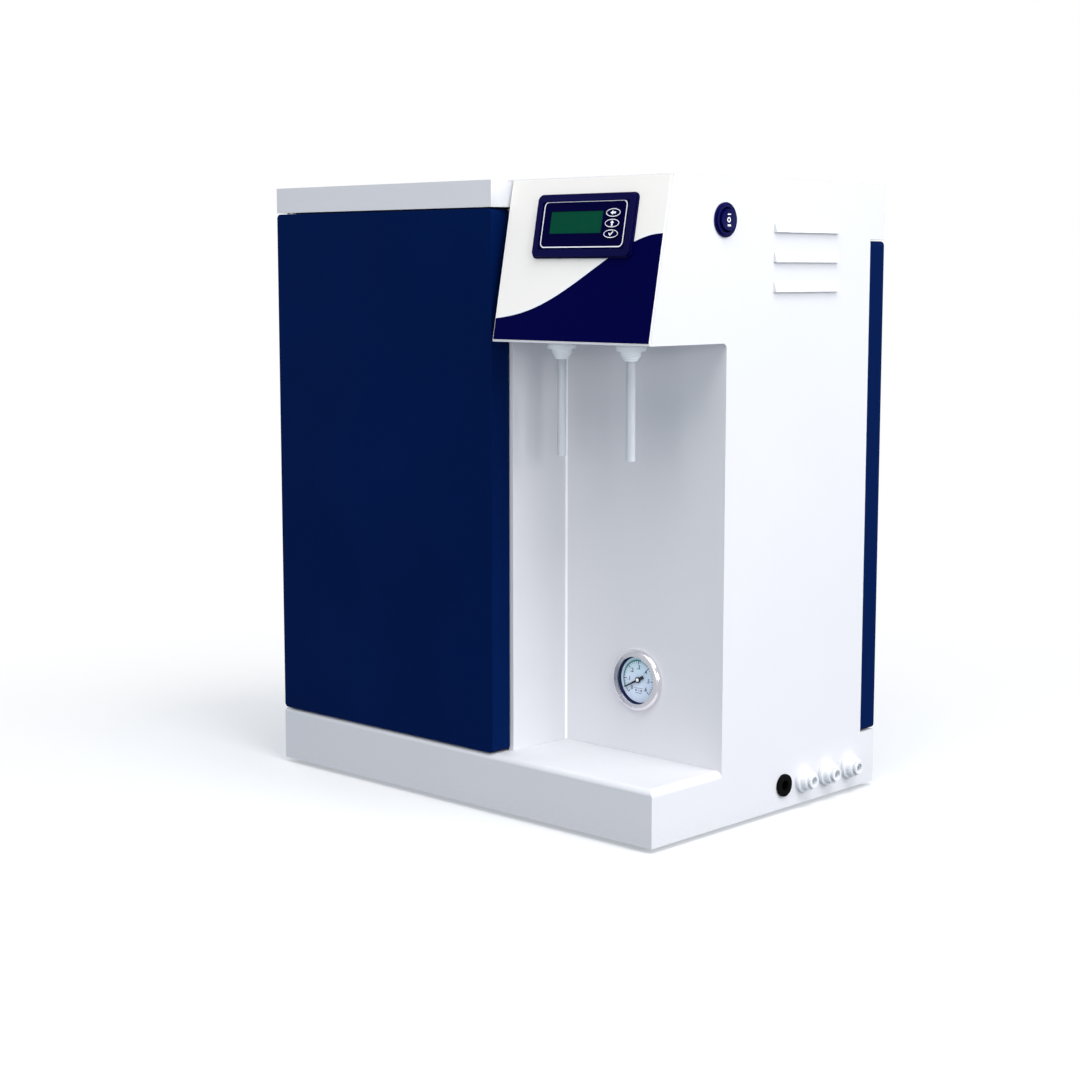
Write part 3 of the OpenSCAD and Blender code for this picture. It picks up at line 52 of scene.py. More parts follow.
# Control head: its left side, underside and overhang, and the slope of its front
HEAD_X, HEAD_Z, OVERHANG = 257.0, 360.5, 6.0
TILT = math.atan(23.0 / 119.5)
# Meter: its middle on the slope, its face's height over the slope, and its keys
METER_X, METER_UP, FACE_TOP = 336.5, 85.5, 3.5
KEY_X, KEY_UP, KEY_PITCH, KEY_RISE = 28.4, 1.0, 7.6, 0.8
# Bay: its left wall and depth, the gauge on its back wall and the nozzles over it
BAY_LEFT, BAY_D = 253.1, 80.0
GAUGE_X, GAUGE_Z = 328.5, 101.0
NOZZLES = ((294.3, 30.0), (362.7, 30.0))
# Rocker switch: its place, the dish in the rocker, and the height of the dish's middle over the panel
SWITCH_Y, SWITCH_DOWN = 76.0, 31.0
DISH_W, DISH_DEEP, ROCKER_MID = 15.5, 1.2, 3.8
DISH_R = (DISH_W ** 2 / 4 + DISH_DEEP ** 2) / (2 * DISH_DEEP)
# Filter cartridges: their places, radius, foot, shoulder and the top of the neck
FILTER_X, FILTER_Y = (49.0, 125.0, 201.0), 66.0
SHELL_R, SHELL_LOW, SHELL_TOP, NECK_TOP = 30.0, 113.7, 375.7, 390.0


def at(x, y, z):
    """A point of the cabinet frame in the row frame, in metres."""
    return Vector(((x + CORNER[0]) / 1000, (y + CORNER[1]) / 1000, (z + CORNER[2]) / 1000))


def axes(origin, x, y):
    """A matrix that puts millimetres in a local frame into the row frame, in metres."""
    x, y = Vector(x).normalized(), Vector(y).normalized()
    z = x.cross(y)
    m = Matrix((x, y, z)).transposed() * 0.001
    return Matrix.Translation(origin) @ m.to_4x4()


def upright(x, y, z):
    """A local frame that stands as the cabinet does."""
    return axes(at(x, y, z), (1, 0, 0), (0, 1, 0))


def on_slope(x, up):
    up_dir = Vector((0, math.sin(TILT), math.cos(TILT)))
    return axes(at(x, -OVERHANG, HEAD_Z) + up_dir * up / 1000, (1, 0, 0), up_dir)


def on_meter(x, up):
    return on_slope(METER_X + x, METER_UP + up)


def on_gauge(n=0.0):
    return axes(at(GAUGE_X, BAY_D - n, GAUGE_Z), (1, 0, 0), (0, 0, 1))


def on_switch():
    return axes(at(BODY_W, SWITCH_Y, BODY_H - SWITCH_DOWN), (0, 0, -1), (0, 1, 0))


# Camera and studio, in metres

CAMERA_AT = (1.12035, -1.2198, 0.4163)
CAMERA_TURN = (82.463, 0.0, 43.558)
CAMERA_LENS, CAMERA_SENSOR = 67.66, 36.0

# Light from all round, and how much plain white reflections see in its place
AMBIENT, AMBIENT_POWER, WHITE_IN_GLOSS = (0.80, 0.92, 1.06), 0.40, 0.45

PLAIN, ROSY = (1.0, 1.0, 1.0), (1.02, 0.99, 1.0)
# Soft boxes: name, place, aim, width and height, watts, colour
LAMPS = (
    ("key_right", (2.9, 1.2, 1.6), (0.1, 0.0, 0.25), (2.2, 1.6), 60, ROSY),
    ("right_high", (1.84, -0.4, 3.08), (0.1, -0.1, 0.1), (1.6, 1.6), 60, PLAIN),
    ("low_right", (2.3, -0.8, 0.62), (0.1, 0.0, 0.25), (0.9, 0.6), 13, PLAIN),
    ("front_high", (0.5, -1.75, 2.25), (0.0, 0.0, 0.25), (1.6, 1.6), 23, ROSY),
    ("low_front", (0.55, -2.0, 0.42), (0.05, 0.0, 0.28), (1.3, 0.6), 5.5, PLAIN),
    ("left_fill", (-2.4, 0.3, 1.4), (0.0, 0.0, 0.25), (1.6, 1.6), 13, PLAIN),
)


def make_camera():
    data = bpy.data.cameras.new("camera")
    data.sensor_width = CAMERA_SENSOR
    data.lens = CAMERA_LENS
    data.clip_start, data.clip_end = 0.05, 60.0
    cam = bpy.data.objects.new("camera", data)
    cam.location = CAMERA_AT
    cam.rotation_euler = [math.radians(a) for a in CAMERA_TURN]
    scene.collection.objects.link(cam)
    scene.camera = cam


def area_light(name, location, target, size, power, colour):
    data = bpy.data.lights.new(name, "AREA")
    data.shape = "RECTANGLE"
    data.size, data.size_y = size
    data.energy = power
    data.color = colour
    lamp = bpy.data.objects.new(name, data)
    lamp.location = location
    lamp.rotation_euler = (Vector(target) - Vector(location)).to_track_quat("-Z", "Y").to_euler()
    scene.collection.objects.link(lamp)


def make_studio():
    """White behind the object, a cool light from all round it, and the soft boxes."""
    world = bpy.data.worlds.new("studio")
    world.use_nodes = True
    tree = world.node_tree
    ambient = tree.nodes["Background"]
    ambient.inputs["Color"].default_value = (*AMBIENT, 1)
    ambient.inputs["Strength"].default_value = AMBIENT_POWER
    white = tree.nodes.new("ShaderNodeBackground")
    white.inputs["Color"].default_value = (1, 1, 1, 1)
    white.inputs["Strength"].default_value = 1.0
    mix = tree.nodes.new("ShaderNodeMixShader")
    path = tree.nodes.new("ShaderNodeLightPath")
    share = tree.nodes.new("ShaderNodeMath")
    share.operation = "MULTIPLY_ADD"
    share.inputs[1].default_value = WHITE_IN_GLOSS
    tree.links.new(path.outputs["Is Glossy Ray"], share.inputs[0])
    tree.links.new(path.outputs["Is Camera Ray"], share.inputs[2])
    tree.links.new(share.outputs[0], mix.inputs["Fac"])
    tree.links.new(ambient.outputs[0], mix.inputs[1])
    tree.links.new(white.outputs[0], mix.inputs[2])
    tree.links.new(mix.outputs[0], tree.nodes["World Output"].inputs["Surface"])
    scene.world = world
    scene.view_settings.view_transform = "Standard"
    for lamp in LAMPS:
        area_light(*lamp)


# Materials: every colour, roughness and bump comes from object-space textures, in metres

# Where most of a noise texture's values lie
NOISE_LOW, NOISE_HIGH = 0.3, 0.7
# The colour mix node's sockets: factor, the two colours, and the result
MIX_FAC, MIX_A, MIX_B, MIX_OUT = 0, 6, 7, 2


class Shader:
    """A material's Principled shader and the texture nodes in front of it."""

    def __init__(self, name):
        self.mat = bpy.data.materials.new(name)
        self.mat.use_nodes = True
        self.tree = self.mat.node_tree
        self.bsdf = self.tree.nodes["Principled BSDF"]
        self.coord = self.tree.nodes.new("ShaderNodeTexCoord").outputs["Object"]

    def put(self, socket, value):
        self.bsdf.inputs[socket].default_value = value

    def link(self, a, b):
        self.tree.links.new(a, b)

    def noise(self, scale, detail, stretch=None, rough=0.5):
        n = self.tree.nodes.new("ShaderNodeTexNoise")
        n.inputs["Scale"].default_value = scale
        n.inputs["Detail"].default_value = detail
        n.inputs["Roughness"].default_value = rough
        source = self.coord
        if stretch:
            m = self.tree.nodes.new("ShaderNodeMapping")
            m.inputs["Scale"].default_value = stretch
            self.link(self.coord, m.inputs["Vector"])
            source = m.outputs["Vector"]
        self.link(source, n.inputs["Vector"])
        return n.outputs["Fac"]

    def tones(self, fac, first, second, low=NOISE_LOW, high=NOISE_HIGH):
        """Runs from one colour to another."""
        r = self.tree.nodes.new("ShaderNodeValToRGB")
        for stop, position, colour in zip(r.color_ramp.elements, (low, high), (first, second)):
            stop.position = position
            stop.color = (*colour, 1)
        self.link(fac, r.inputs["Fac"])
        return r.outputs["Color"]

    def span(self, fac, low, high, from_low=NOISE_LOW, from_high=NOISE_HIGH):
        """Runs from one number to another."""
        m = self.tree.nodes.new("ShaderNodeMapRange")
        m.inputs["From Min"].default_value = from_low
        m.inputs["From Max"].default_value = from_high
        m.inputs["To Min"].default_value = low
        m.inputs["To Max"].default_value = high
        self.link(fac, m.inputs["Value"])
        return m.outputs["Result"]

    def mix(self, fac, a, b):
        m = self.tree.nodes.new("ShaderNodeMix")
        m.data_type = "RGBA"
        for key, value in ((MIX_FAC, fac), (MIX_A, a), (MIX_B, b)):
            if isinstance(value, bpy.types.NodeSocket):
                self.link(value, m.inputs[key])
            elif key == MIX_FAC:
                m.inputs[key].default_value = value
            else:
                m.inputs[key].default_value = (*value, 1)
        return m.outputs[MIX_OUT]

    def height(self):
        s = self.tree.nodes.new("ShaderNodeSeparateXYZ")
        self.link(self.coord, s.inputs[0])
        return s.outputs["Z"]

    def colour(self, socket):
        self.link(socket, self.bsdf.inputs["Base Color"])

    def rough(self, socket):
        self.link(socket, self.bsdf.inputs["Roughness"])

    def bump(self, fac, depth_mm):
        b = self.tree.nodes.new("ShaderNodeBump")
        b.inputs["Distance"].default_value = depth_mm / 1000
        b.inputs["Strength"].default_value = 1.0
        self.link(fac, b.inputs["Height"])
        self.link(b.outputs["Normal"], self.bsdf.inputs["Normal"])


def shade(colour, k):
    return tuple(min(1.0, c * k) for c in colour)


def coated(name, colour, rough, spread, peel, peel_scale, spec, metal=0.0, patch=7.0, uneven=0.06):
    """A painted or moulded surface: slow colour drift, uneven gloss and a fine skin."""
    s = Shader(name)
    s.colour(s.tones(s.noise(patch, 4), shade(colour, 1 - spread), shade(colour, 1 + spread)))
    s.rough(s.span(s.noise(55, 4), rough - uneven, rough + uneven))
    s.bump(s.noise(peel_scale, 2), peel)
    s.put("Specular IOR Level", spec)
    s.put("Metallic", metal)
    return s


def cabinet_white():
    """White powder coat, a little scuffed along its lowest edge."""
    s = Shader("powder_white")
    drift = s.tones(s.noise(5, 4), (0.695, 0.695, 0.717), (0.718, 0.718, 0.741))
    low = s.span(s.height(), 0.0, 1.0, 0.004, 0.022)
    scuff = s.tones(s.noise(160, 5, (1, 1, 3)), (0.688, 0.688, 0.710), (0.707, 0.707, 0.729), 0.42, 0.6)
    s.colour(s.mix(low, scuff, drift))
    s.rough(s.span(s.noise(40, 4), 0.42, 0.54))
    s.bump(s.noise(850, 2), 0.018)
    s.put("Specular IOR Level", 0.35)
    return s.mat


def brushed(name, colour, rough, stretch, spread=0.08):
    """Bare metal with fine lines, which lie across the axis with the largest stretch."""
    s = Shader(name)
    lines = s.noise(1.0, 4, stretch, 0.6)
    s.colour(s.tones(lines, shade(colour, 1 - spread), shade(colour, 1 + spread)))
    s.rough(s.span(lines, rough - 0.08, rough + 0.1))
    s.bump(lines, 0.006)
    s.put("Metallic", 1.0)
    return s.mat


def milky(name, colour, rough, depth, weight, sheen=0.0):
    """Translucent plastic: light spreads inside it, under a smooth skin."""
    s = coated(name, colour, rough, spread=0.02, peel=0.006, peel_scale=600, spec=0.5, patch=30)
    s.put("Subsurface Weight", weight)
    s.put("Subsurface Radius", (depth, depth, depth))
    s.put("Subsurface Scale", 1.0)
    s.put("Coat Weight", 0.25)
    s.put("Coat Roughness", 0.12)
    s.put("Sheen Weight", sheen)
    s.put("Sheen Roughness", 0.35)
    return s.mat


def lcd_glass():
    """A dark green display with a faint grid of cells."""
    s = Shader("lcd")
    cells = s.tree.nodes.new("ShaderNodeTexVoronoi")
    cells.distance = "CHEBYCHEV"
    cells.inputs["Scale"].default_value = 2200
    cells.inputs["Randomness"].default_value = 0.0
    s.link(s.coord, cells.inputs["Vector"])
    grid = s.tones(cells.outputs["Distance"], (0.0020, 0.070, 0.036), (0.0010, 0.052, 0.027), 0.3, 0.55)
    glow = s.tones(s.noise(26, 3), (0.0012, 0.056, 0.029), (0.0022, 0.076, 0.042))
    s.colour(s.mix(0.5, grid, glow))
    s.rough(s.span(s.noise(90, 3), 0.16, 0.24))
    s.put("Specular IOR Level", 0.03)
    return s.mat


def dial_print():
    """The dial's pale card, with painted teal shade towards its top."""
    s = Shader("dial_print")
    tint = s.tones(s.noise(34, 3), (0.70, 0.82, 0.98), (0.76, 0.86, 1.0))
    # Painted shade: the card's colour turns teal towards the top of the dial.
    top_shade = s.span(s.height(), 0.0, 1.0, 0.104, 0.124)
    s.colour(s.mix(top_shade, tint, (0.62, 0.86, 0.93)))
    s.rough(s.span(s.noise(300, 3), 0.42, 0.55))
    return s.mat


def window_glass():
    s = Shader("gauge_window")
    s.colour(s.tones(s.noise(40, 3), (0.66, 0.82, 0.90), (0.74, 0.88, 0.96)))
    s.rough(s.span(s.noise(120, 3), 0.02, 0.06))
    s.put("Alpha", 0.015)
    s.put("Specular IOR Level", 0.08)
    return s.mat


def film_ivory():
    s = Shader("film_ivory")
    s.colour(s.tones(s.noise(9, 4), (0.955, 0.920, 0.860), (0.975, 0.940, 0.880)))
    s.rough(s.span(s.noise(70, 4), 0.46, 0.56))
    s.bump(s.noise(2400, 2), 0.010)
    s.put("Specular IOR Level", 0.35)
    return s.mat


# Paint, print and plastic: material name, colour, roughness, colour spread, depth of the skin in
# millimetres, its scale, specular level
COATINGS = {
    "print_navy": ("print_navy", (0.0005, 0.0008, 0.0480), 0.50, 0.08, 0.008, 2200, 0.015),
    "print_white": ("print_white", (0.94, 0.94, 0.95), 0.50, 0.02, 0.006, 2400, 0.5),
    "print_teal": ("print_teal", (0.06, 0.33, 0.30), 0.50, 0.06, 0.006, 2400, 0.5),
    "print_black": ("print_black", (0.005, 0.008, 0.030), 0.50, 0.20, 0.006, 2400, 0.2),
    "case_navy": ("moulded_navy", (0.0012, 0.0008, 0.0460), 0.34, 0.10, 0.022, 1700, 0.07),
    "switch_navy": ("switch_navy", (0.0010, 0.0010, 0.0580), 0.28, 0.10, 0.010, 1700, 0.09),
    # Near-black navy for the painted shade in the switch's recess
    "recess_shade_navy": ("recess_shade_navy", (0.0006, 0.0006, 0.0120), 0.55, 0.10, 0.010, 1700, 0.08),
    "face_navy": ("face_film", (0.0006, 0.0004, 0.030), 0.36, 0.10, 0.006, 2000, 0.02),
    "key_navy": ("key_film", (0.0006, 0.0004, 0.032), 0.42, 0.10, 0.012, 2200, 0.02),
    "pointer": ("pointer_black", (0.004, 0.005, 0.012), 0.45, 0.20, 0.010, 1500, 0.2),
    "pp_white": ("white_polypropylene", (0.80, 0.81, 0.83), 0.40, 0.03, 0.020, 700, 0.5),
    "collet": ("collet_acetal", (0.74, 0.76, 0.78), 0.40, 0.03, 0.012, 900, 0.5),
    "blue_shell": ("filter_blue", (0.16, 0.34, 0.62), 0.30, 0.06, 0.020, 500, 0.5),
    "grey_shell": ("filter_grey", (0.56, 0.60, 0.64), 0.34, 0.04, 0.020, 500, 0.5),
    "label": ("blank_label", (0.86, 0.87, 0.88), 0.55, 0.02, 0.008, 1800, 0.5),
    "rubber": ("black_rubber", (0.014, 0.014, 0.015), 0.68, 0.20, 0.030, 1200, 0.3),
    "grommet": ("grommet_black", (0.0012, 0.0012, 0.0013), 0.60, 0.30, 0.030, 1200, 0.04),
    "black": ("black_moulding", (0.022, 0.022, 0.025), 0.46, 0.15, 0.025, 1300, 0.4),
}

MATS = {key: coated(*row).mat for key, row in COATINGS.items()}
MATS.update({
    "white": cabinet_white(),
    "blue": coated("powder_blue", (0.0004, 0.0092, 0.0640), 0.50, 0.10, 0.020, 900, 0.015, uneven=0.02).mat,
    "motor": coated("motor_enamel", (0.055, 0.06, 0.07), 0.42, 0.12, 0.020, 700, 0.5, metal=0.3).mat,
    "board": coated("circuit_board", (0.02, 0.13, 0.06), 0.40, 0.18, 0.010, 1600, 0.5, patch=60).mat,
    "ivory": film_ivory(),
    "lcd": lcd_glass(),
    "dial": dial_print(),
    "window": window_glass(),
    "steel": brushed("satin_chrome", (0.82, 0.80, 0.83), 0.23, (30, 30, 30), spread=0.04),
    "zinc": brushed("zinc_plate", (0.66, 0.68, 0.70), 0.38, (14, 14, 900)),
    "alu": brushed("aluminium_case", (0.74, 0.75, 0.76), 0.42, (900, 14, 14)),
    "brass": brushed("turned_brass", (0.80, 0.60, 0.26), 0.30, (40, 900, 40)),
    "nozzle": milky("nozzle_plastic", (0.93, 0.95, 0.97), 0.32, depth=0.001, weight=0.10),
    "spout": milky("spout_plastic", (0.57, 0.60, 0.64), 0.34, depth=0.006, weight=0.85, sheen=0.30),
    "tube": milky("water_tube", (0.62, 0.76, 0.90), 0.25, depth=0.002, weight=0.35),
})

# The material of each CAD node
DRESS = {
    "white": "base_tray port_panel bottom_plate right_side_panel left_side_panel top_cover bay_liner "
             "head_front",
    "blue": "front_door rear_cover",
    "ivory": "control_overlay",
    "case_navy": "meter_case",
    "switch_navy": "switch_body switch_rocker",
    "face_navy": "meter_face",
    "key_navy": "key_shift key_up key_confirm",
    "lcd": "meter_display",
    "steel": "gauge_bezel gauge_case",
    "dial": "gauge_dial",
    "window": "gauge_glass",
    "pointer": "gauge_pointer",
    "brass": "gauge_stem",
    "zinc": "chassis_plate rear_cover_screws hinge_pins door_strike",
    "nozzle": "nozzle_fittings",
    "spout": "spout_left spout_right",
    "pp_white": "bulkhead_nuts feed_port drain_port tank_port filter_manifold membrane_vessel membrane_cap "
                "membrane_element column_clips hinge_bushes",
    "collet": "feed_collet drain_collet tank_collet",
    "grey_shell": "sediment_filter",
    "blue_shell": "carbon_filter softener_filter deioniser_left deioniser_right",
    "tube": "water_tubes",
    "rubber": "rubber_feet",
    "grommet": "cord_grommet",
    "black": "magnet_catch pump_head solenoid_valves",
    "motor": "pump_motor pump_mount",
    "alu": "power_supply",
    "board": "control_board",
}

# Edge radius, in millimetres, that sheet and mouldings get over the CAD's sharp edges
EDGES = {
    0.6: "top_cover head_front meter_case switch_body switch_rocker",
    1.0: "front_door rear_cover",
    0.25: "key_shift key_up key_confirm nozzle_fittings feed_port drain_port tank_port",
    0.3: "feed_collet drain_collet tank_collet filter_manifold magnet_catch right_side_panel left_side_panel "
         "base_tray bay_liner",
}


def soften(obj, width_mm):
    """Rounds a CAD object's edges with modifiers: its mesh stays as it was imported."""
    weld = obj.modifiers.new("weld", "WELD")
    weld.merge_threshold = 0.00002
    flat = obj.modifiers.new("flat", "DECIMATE")
    flat.decimate_type = "DISSOLVE"
    flat.angle_limit = math.radians(0.5)
    bevel = obj.modifiers.new("edge", "BEVEL")
    bevel.width = width_mm / 1000
    bevel.segments = 3
    bevel.limit_method = "ANGLE"
    bevel.angle_limit = math.radians(38)
    bevel.harden_normals = True
    bevel.miter_outer = "MITER_ARC"


def dress_frame():
    for mat, names in DRESS.items():
        for name in names.split():
            data = nodes[name].data
            data.materials.clear()
            data.materials.append(MATS[mat])
    for width, names in EDGES.items():
        for name in names.split():
            soften(nodes[name], width)


# Shapes, in millimetres


def piece(name, bm, mat, body, matrix, smooth=None):
    """Puts a shape in its place and on its body: edges up to the smooth angle are shaded round."""
    bmesh.ops.transform(bm, matrix=matrix, verts=bm.verts)
    bmesh.ops.recalc_face_normals(bm, faces=bm.faces)
    data = bpy.data.meshes.new(name)
    bm.to_mesh(data)
    bm.free()
    data.materials.append(MATS[mat])
    if smooth is not None:
        data.set_sharp_from_angle(angle=math.radians(smooth))
    obj = bpy.data.objects.new(name, data)
    scene.collection.objects.link(obj)
    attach(obj, body)
    return obj


def slab(bm, loops, low, high):
    """A plate from a flat outline and its holes, between two heights."""
    flat = [[Vector((x, y, 0)) for x, y in loop] for loop in loops]
    tris = tessellate_polygon(flat)
    points = [p for loop in flat for p in loop]
    bottom = [bm.verts.new((p.x, p.y, low)) for p in points]
    top = [bm.verts.new((p.x, p.y, high)) for p in points]
    for a, b, c in tris:
        bm.faces.new((top[a], top[b], top[c]))
        bm.faces.new((bottom[c], bottom[b], bottom[a]))
    start = 0
    for loop in flat:
        n = len(loop)
        for i in range(n):
            j = (i + 1) % n
            bm.faces.new((bottom[start + i], bottom[start + j], top[start + j], top[start + i]))
        start += n


def turns(n):
    return [2 * math.pi * k / n for k in range(n)]


def lathe(bm, profile, segments=48):
    """A turned piece from (radius, height) points; a radius of zero closes it."""
    rings = []
    for r, z in profile:
        if r == 0:
            rings.append([bm.verts.new((0, 0, z))])
        else:
            rings.append([bm.verts.new((r * math.cos(a), r * math.sin(a), z)) for a in turns(segments)])
    for a, b in zip(rings, rings[1:]):
        for k in range(segments):
            m = (k + 1) % segments
            quad = [a[k % len(a)], a[m % len(a)], b[m % len(b)], b[k % len(b)]]
            face = list(dict.fromkeys(quad))
            if len(face) > 2:
                bm.faces.new(face)


def ellipse(w, h, n=48, x=0.0, y=0.0):
    return [(x + w / 2 * math.cos(a), y + h / 2 * math.sin(a)) for a in turns(n)]


def round_rect(w, h, r, n=6):
    out = []
    for cx, cy, start in ((1, 1, 0), (-1, 1, 90), (-1, -1, 180), (1, -1, 270)):
        for k in range(n + 1):
            a = math.radians(start + 90 * k / n)
            out.append((cx * (w / 2 - r) + r * math.cos(a), cy * (h / 2 - r) + r * math.sin(a)))
    return out


def bar(w, h, x=0.0, y=0.0):
    x0, x1, y0, y1 = x - w / 2, x + w / 2, y - h / 2, y + h / 2
    return [(x0, y0), (x1, y0), (x1, y1), (x0, y1)]


def polar(r, degrees):
    return (r * math.cos(math.radians(degrees)), r * math.sin(math.radians(degrees)))


def arc_band(r0, r1, start, end, n=48):
    turn = [start + (end - start) * k / n for k in range(n + 1)]
    return [polar(r1, a) for a in turn] + [polar(r0, a) for a in reversed(turn)]


def tick(r0, r1, degrees, half):
    (c, s), (x0, y0), (x1, y1) = polar(half, degrees), polar(r0, degrees), polar(r1, degrees)
    return [(x0 - s, y0 + c), (x0 + s, y0 - c), (x1 + s, y1 - c), (x1 - s, y1 + c)]


# Pieces


def overlay_print():
    """Two-tone overlay: a plain navy field under one rising curve, with a pale line along it."""
    margin, foot, steps = 0.9, 1.7, 60
    film, field_top, line_top = 0.40, 0.46, 0.45
    left = HEAD_X + margin
    width = BODY_W - margin - left

    def edge(t):
        start, swell, climb = 17.5, 6.0, 62.0
        rise = t * t * (3 - 2 * t)
        return start + swell * math.sin(math.pi * t) * (1 - t) + climb * rise ** 1.35

    curve = [(width * k / steps, edge(k / steps)) for k in range(steps + 1)]
    bm = bmesh.new()
    slab(bm, [[(0, foot), (width, foot)] + curve[::-1]], film, field_top)
    piece("overlay_field", bm, "print_navy", "cabinet", on_slope(left, 0))
    lower = [(x, y + 0.1) for x, y in curve]
    upper = [(x, y + 1.3 + 0.5 * math.sin(math.pi * x / width)) for x, y in curve]
    bm = bmesh.new()
    slab(bm, [lower + upper[::-1]], film, line_top)
    piece("overlay_line", bm, "print_white", "cabinet", on_slope(left, 0))


def meter_print():
    """The frame line on the meter's face, the display's dark rim, and the keys' rings and marks."""
    sunk, proud, rim_proud = 0.05, 0.04, 0.15
    low, key_top = FACE_TOP - sunk, FACE_TOP + KEY_RISE
    bm = bmesh.new()
    slab(bm, [round_rect(80.3, 34.0, 4.0), round_rect(78.7, 32.4, 3.2)], low, FACE_TOP + proud)
    piece("meter_frame_line", bm, "print_white", "cabinet", on_meter(0, 0.9))
    bm = bmesh.new()
    slab(bm, [round_rect(52.6, 18.2, 1.0), round_rect(50.7, 16.3, 0.3)], low, FACE_TOP + rim_proud)
    piece("display_window_rim", bm, "face_navy", "cabinet", on_meter(-7.3, 2.4))
    marks = {
        "shift": [(-2.6, 0), (-0.3, 1.7), (-0.3, 0.75), (2.4, 0.75), (2.4, -0.75), (-0.3, -0.75),
                  (-0.3, -1.7)],
        "up": [(0, 2.1), (-1.9, 0.2), (-0.75, 0.2), (-0.75, -1.9), (0.75, -1.9), (0.75, 0.2), (1.9, 0.2)],
        "confirm": [(-2.2, 0.2), (-1.6, 0.8), (-0.6, -0.3), (1.7, 1.9), (2.3, 1.3), (-0.6, -1.6)],
    }
    for row, (key, mark) in zip((1, 0, -1), marks.items()):
        bm = bmesh.new()
        slab(bm, [ellipse(13.5, 6.0), ellipse(12.4, 4.9)], key_top - sunk, key_top + proud)
        slab(bm, [mark], key_top - sunk, key_top + proud)
        piece("key_print_" + key, bm, "print_white", key + "_key", on_meter(KEY_X, KEY_UP + KEY_PITCH * row))


def switch_print():
    """White marks moulded into the rocker's dished face, and a dark lining that paints the shade in its
    recess.
    """
    half = 0.05
    thin_bar, thick_bar = bar(0.8, 3.6, -3.9), bar(1.3, 3.6, 4.0)
    ring = [ellipse(3.7, 4.1, 32), ellipse(2.1, 2.3, 32)]
    bm = bmesh.new()
    for loops in ([thin_bar], ring, [thick_bar]):
        slab(bm, loops, -half, half)
    bmesh.ops.subdivide_edges(bm, edges=bm.edges, cuts=2)
    for v in bm.verts:
        v.co.z += ROCKER_MID + DISH_R - math.sqrt(DISH_R * DISH_R - v.co.x * v.co.x)
    piece("rocker_marks", bm, "print_white", "rocker", on_switch())
    # Painted shade: a thin near-black lining in the rocker's recess, where shade falls.
    inner, outer, low, high = 8.98, 9.12, -2.6, 2.2
    bm = bmesh.new()
    lathe(bm, [(outer, high), (9.06, 2.3), (inner, high), (inner, low), (outer, low), (outer, high)], 64)
    piece("switch_recess_shade", bm, "recess_shade_navy", "cabinet", on_switch(), smooth=40)


def digits(name, text, size, mat, body, matrix):
    """A number as a flat mesh, centred on its place."""
    curve = bpy.data.curves.new(name, "FONT")
    curve.body = text
    curve.size = size
    curve.offset = 0.10
    curve.align_x = "CENTER"
    curve.align_y = "CENTER"
    curve.resolution_u = 4
    holder = bpy.data.objects.new(name + "_type", curve)
    scene.collection.objects.link(holder)
    bpy.context.view_layer.update()
    graph = bpy.context.evaluated_depsgraph_get()
    data = bpy.data.meshes.new_from_object(holder.evaluated_get(graph))
    bpy.data.objects.remove(holder)
    bpy.data.curves.remove(curve)
    bm = bmesh.new()
    bm.from_mesh(data)
    bpy.data.meshes.remove(data)
    piece(name, bm, mat, body, matrix)


def gauge_details():
    """Dial scale from 0 to .6 over 270 degrees, the dark inner wall, whose navy also paints the shade inside
    the bezel, and the pointer's cap.
    """
    start, sweep, numbers, ticks = 225, 270, 6, 30
    face = -0.5
    ink, zone_ink = face + 0.03, face + 0.035
    bm = bmesh.new()
    for k in range(ticks + 1):
        inner, half = (12.0, 0.32) if k % (ticks // numbers) == 0 else (13.1, 0.15)
        slab(bm, [tick(inner, 14.5, start - sweep / ticks * k, half)], face, ink)
    slab(bm, [arc_band(14.5, 14.8, start, start - sweep, 96)], face, ink)
    for w, y in ((8.4, -6.6), (2.2, -8.4), (6.2, -10.3)):
        slab(bm, [bar(w, 0.34, 0, y)], face, ink)
    for x in (-2.6, 2.6):
        slab(bm, [ellipse(1.5, 1.5, 20, x, -8.4)], face, ink)
    piece("dial_scale", bm, "print_black", "cabinet", on_gauge())
    bm = bmesh.new()
    slab(bm, [arc_band(14.8, 15.7, 205, 82)], face, zone_ink)
    piece("dial_zone", bm, "print_teal", "cabinet", on_gauge())
    for k in range(numbers + 1):
        text = "0" if k == 0 else "." + str(k)
        place = on_gauge(ink) @ Matrix.Translation((*polar(9.6, start - sweep / numbers * k), 0))
        digits("dial_number_%d" % k, text, 4.4, "print_black", "cabinet", place)
    # The inner wall is real, and its dark navy paints the shade that falls inside the bezel.
    wall = [(19.05, -0.45), (17.7, -0.45), (17.8, -0.2), (18.35, 0.2), (18.45, 1.75), (19.05, 1.75)]
    bm = bmesh.new()
    lathe(bm, wall + wall[:1], 72)
    piece("dial_wall_shade", bm, "print_navy", "cabinet", on_gauge(), smooth=35)
    bm = bmesh.new()
    lathe(bm, [(0, 1.7), (0.8, 1.64), (1.3, 1.45), (1.45, 1.3), (1.45, 1.1)], 32)
    piece("pointer_cap", bm, "print_white", "pointer", on_gauge(), smooth=40)


def bay_bead():
    """The bright sealed seam where the bay's left wall meets its back wall."""
    r, gap = 1.3, 0.1
    hollow = [math.radians(a) for a in range(15, 90, 15)]
    cove = [(0, 0), (r, 0)] + [(r - r * math.sin(a), r - r * math.cos(a)) for a in hollow] + [(0, r)]
    bm = bmesh.new()
    slab(bm, [cove], BASE_H + gap, HEAD_Z - gap)
    piece("bay_corner_bead", bm, "print_white", "cabinet",
          axes(at(BAY_LEFT, BAY_D, 0), (0, -1, 0), (1, 0, 0)), smooth=35)


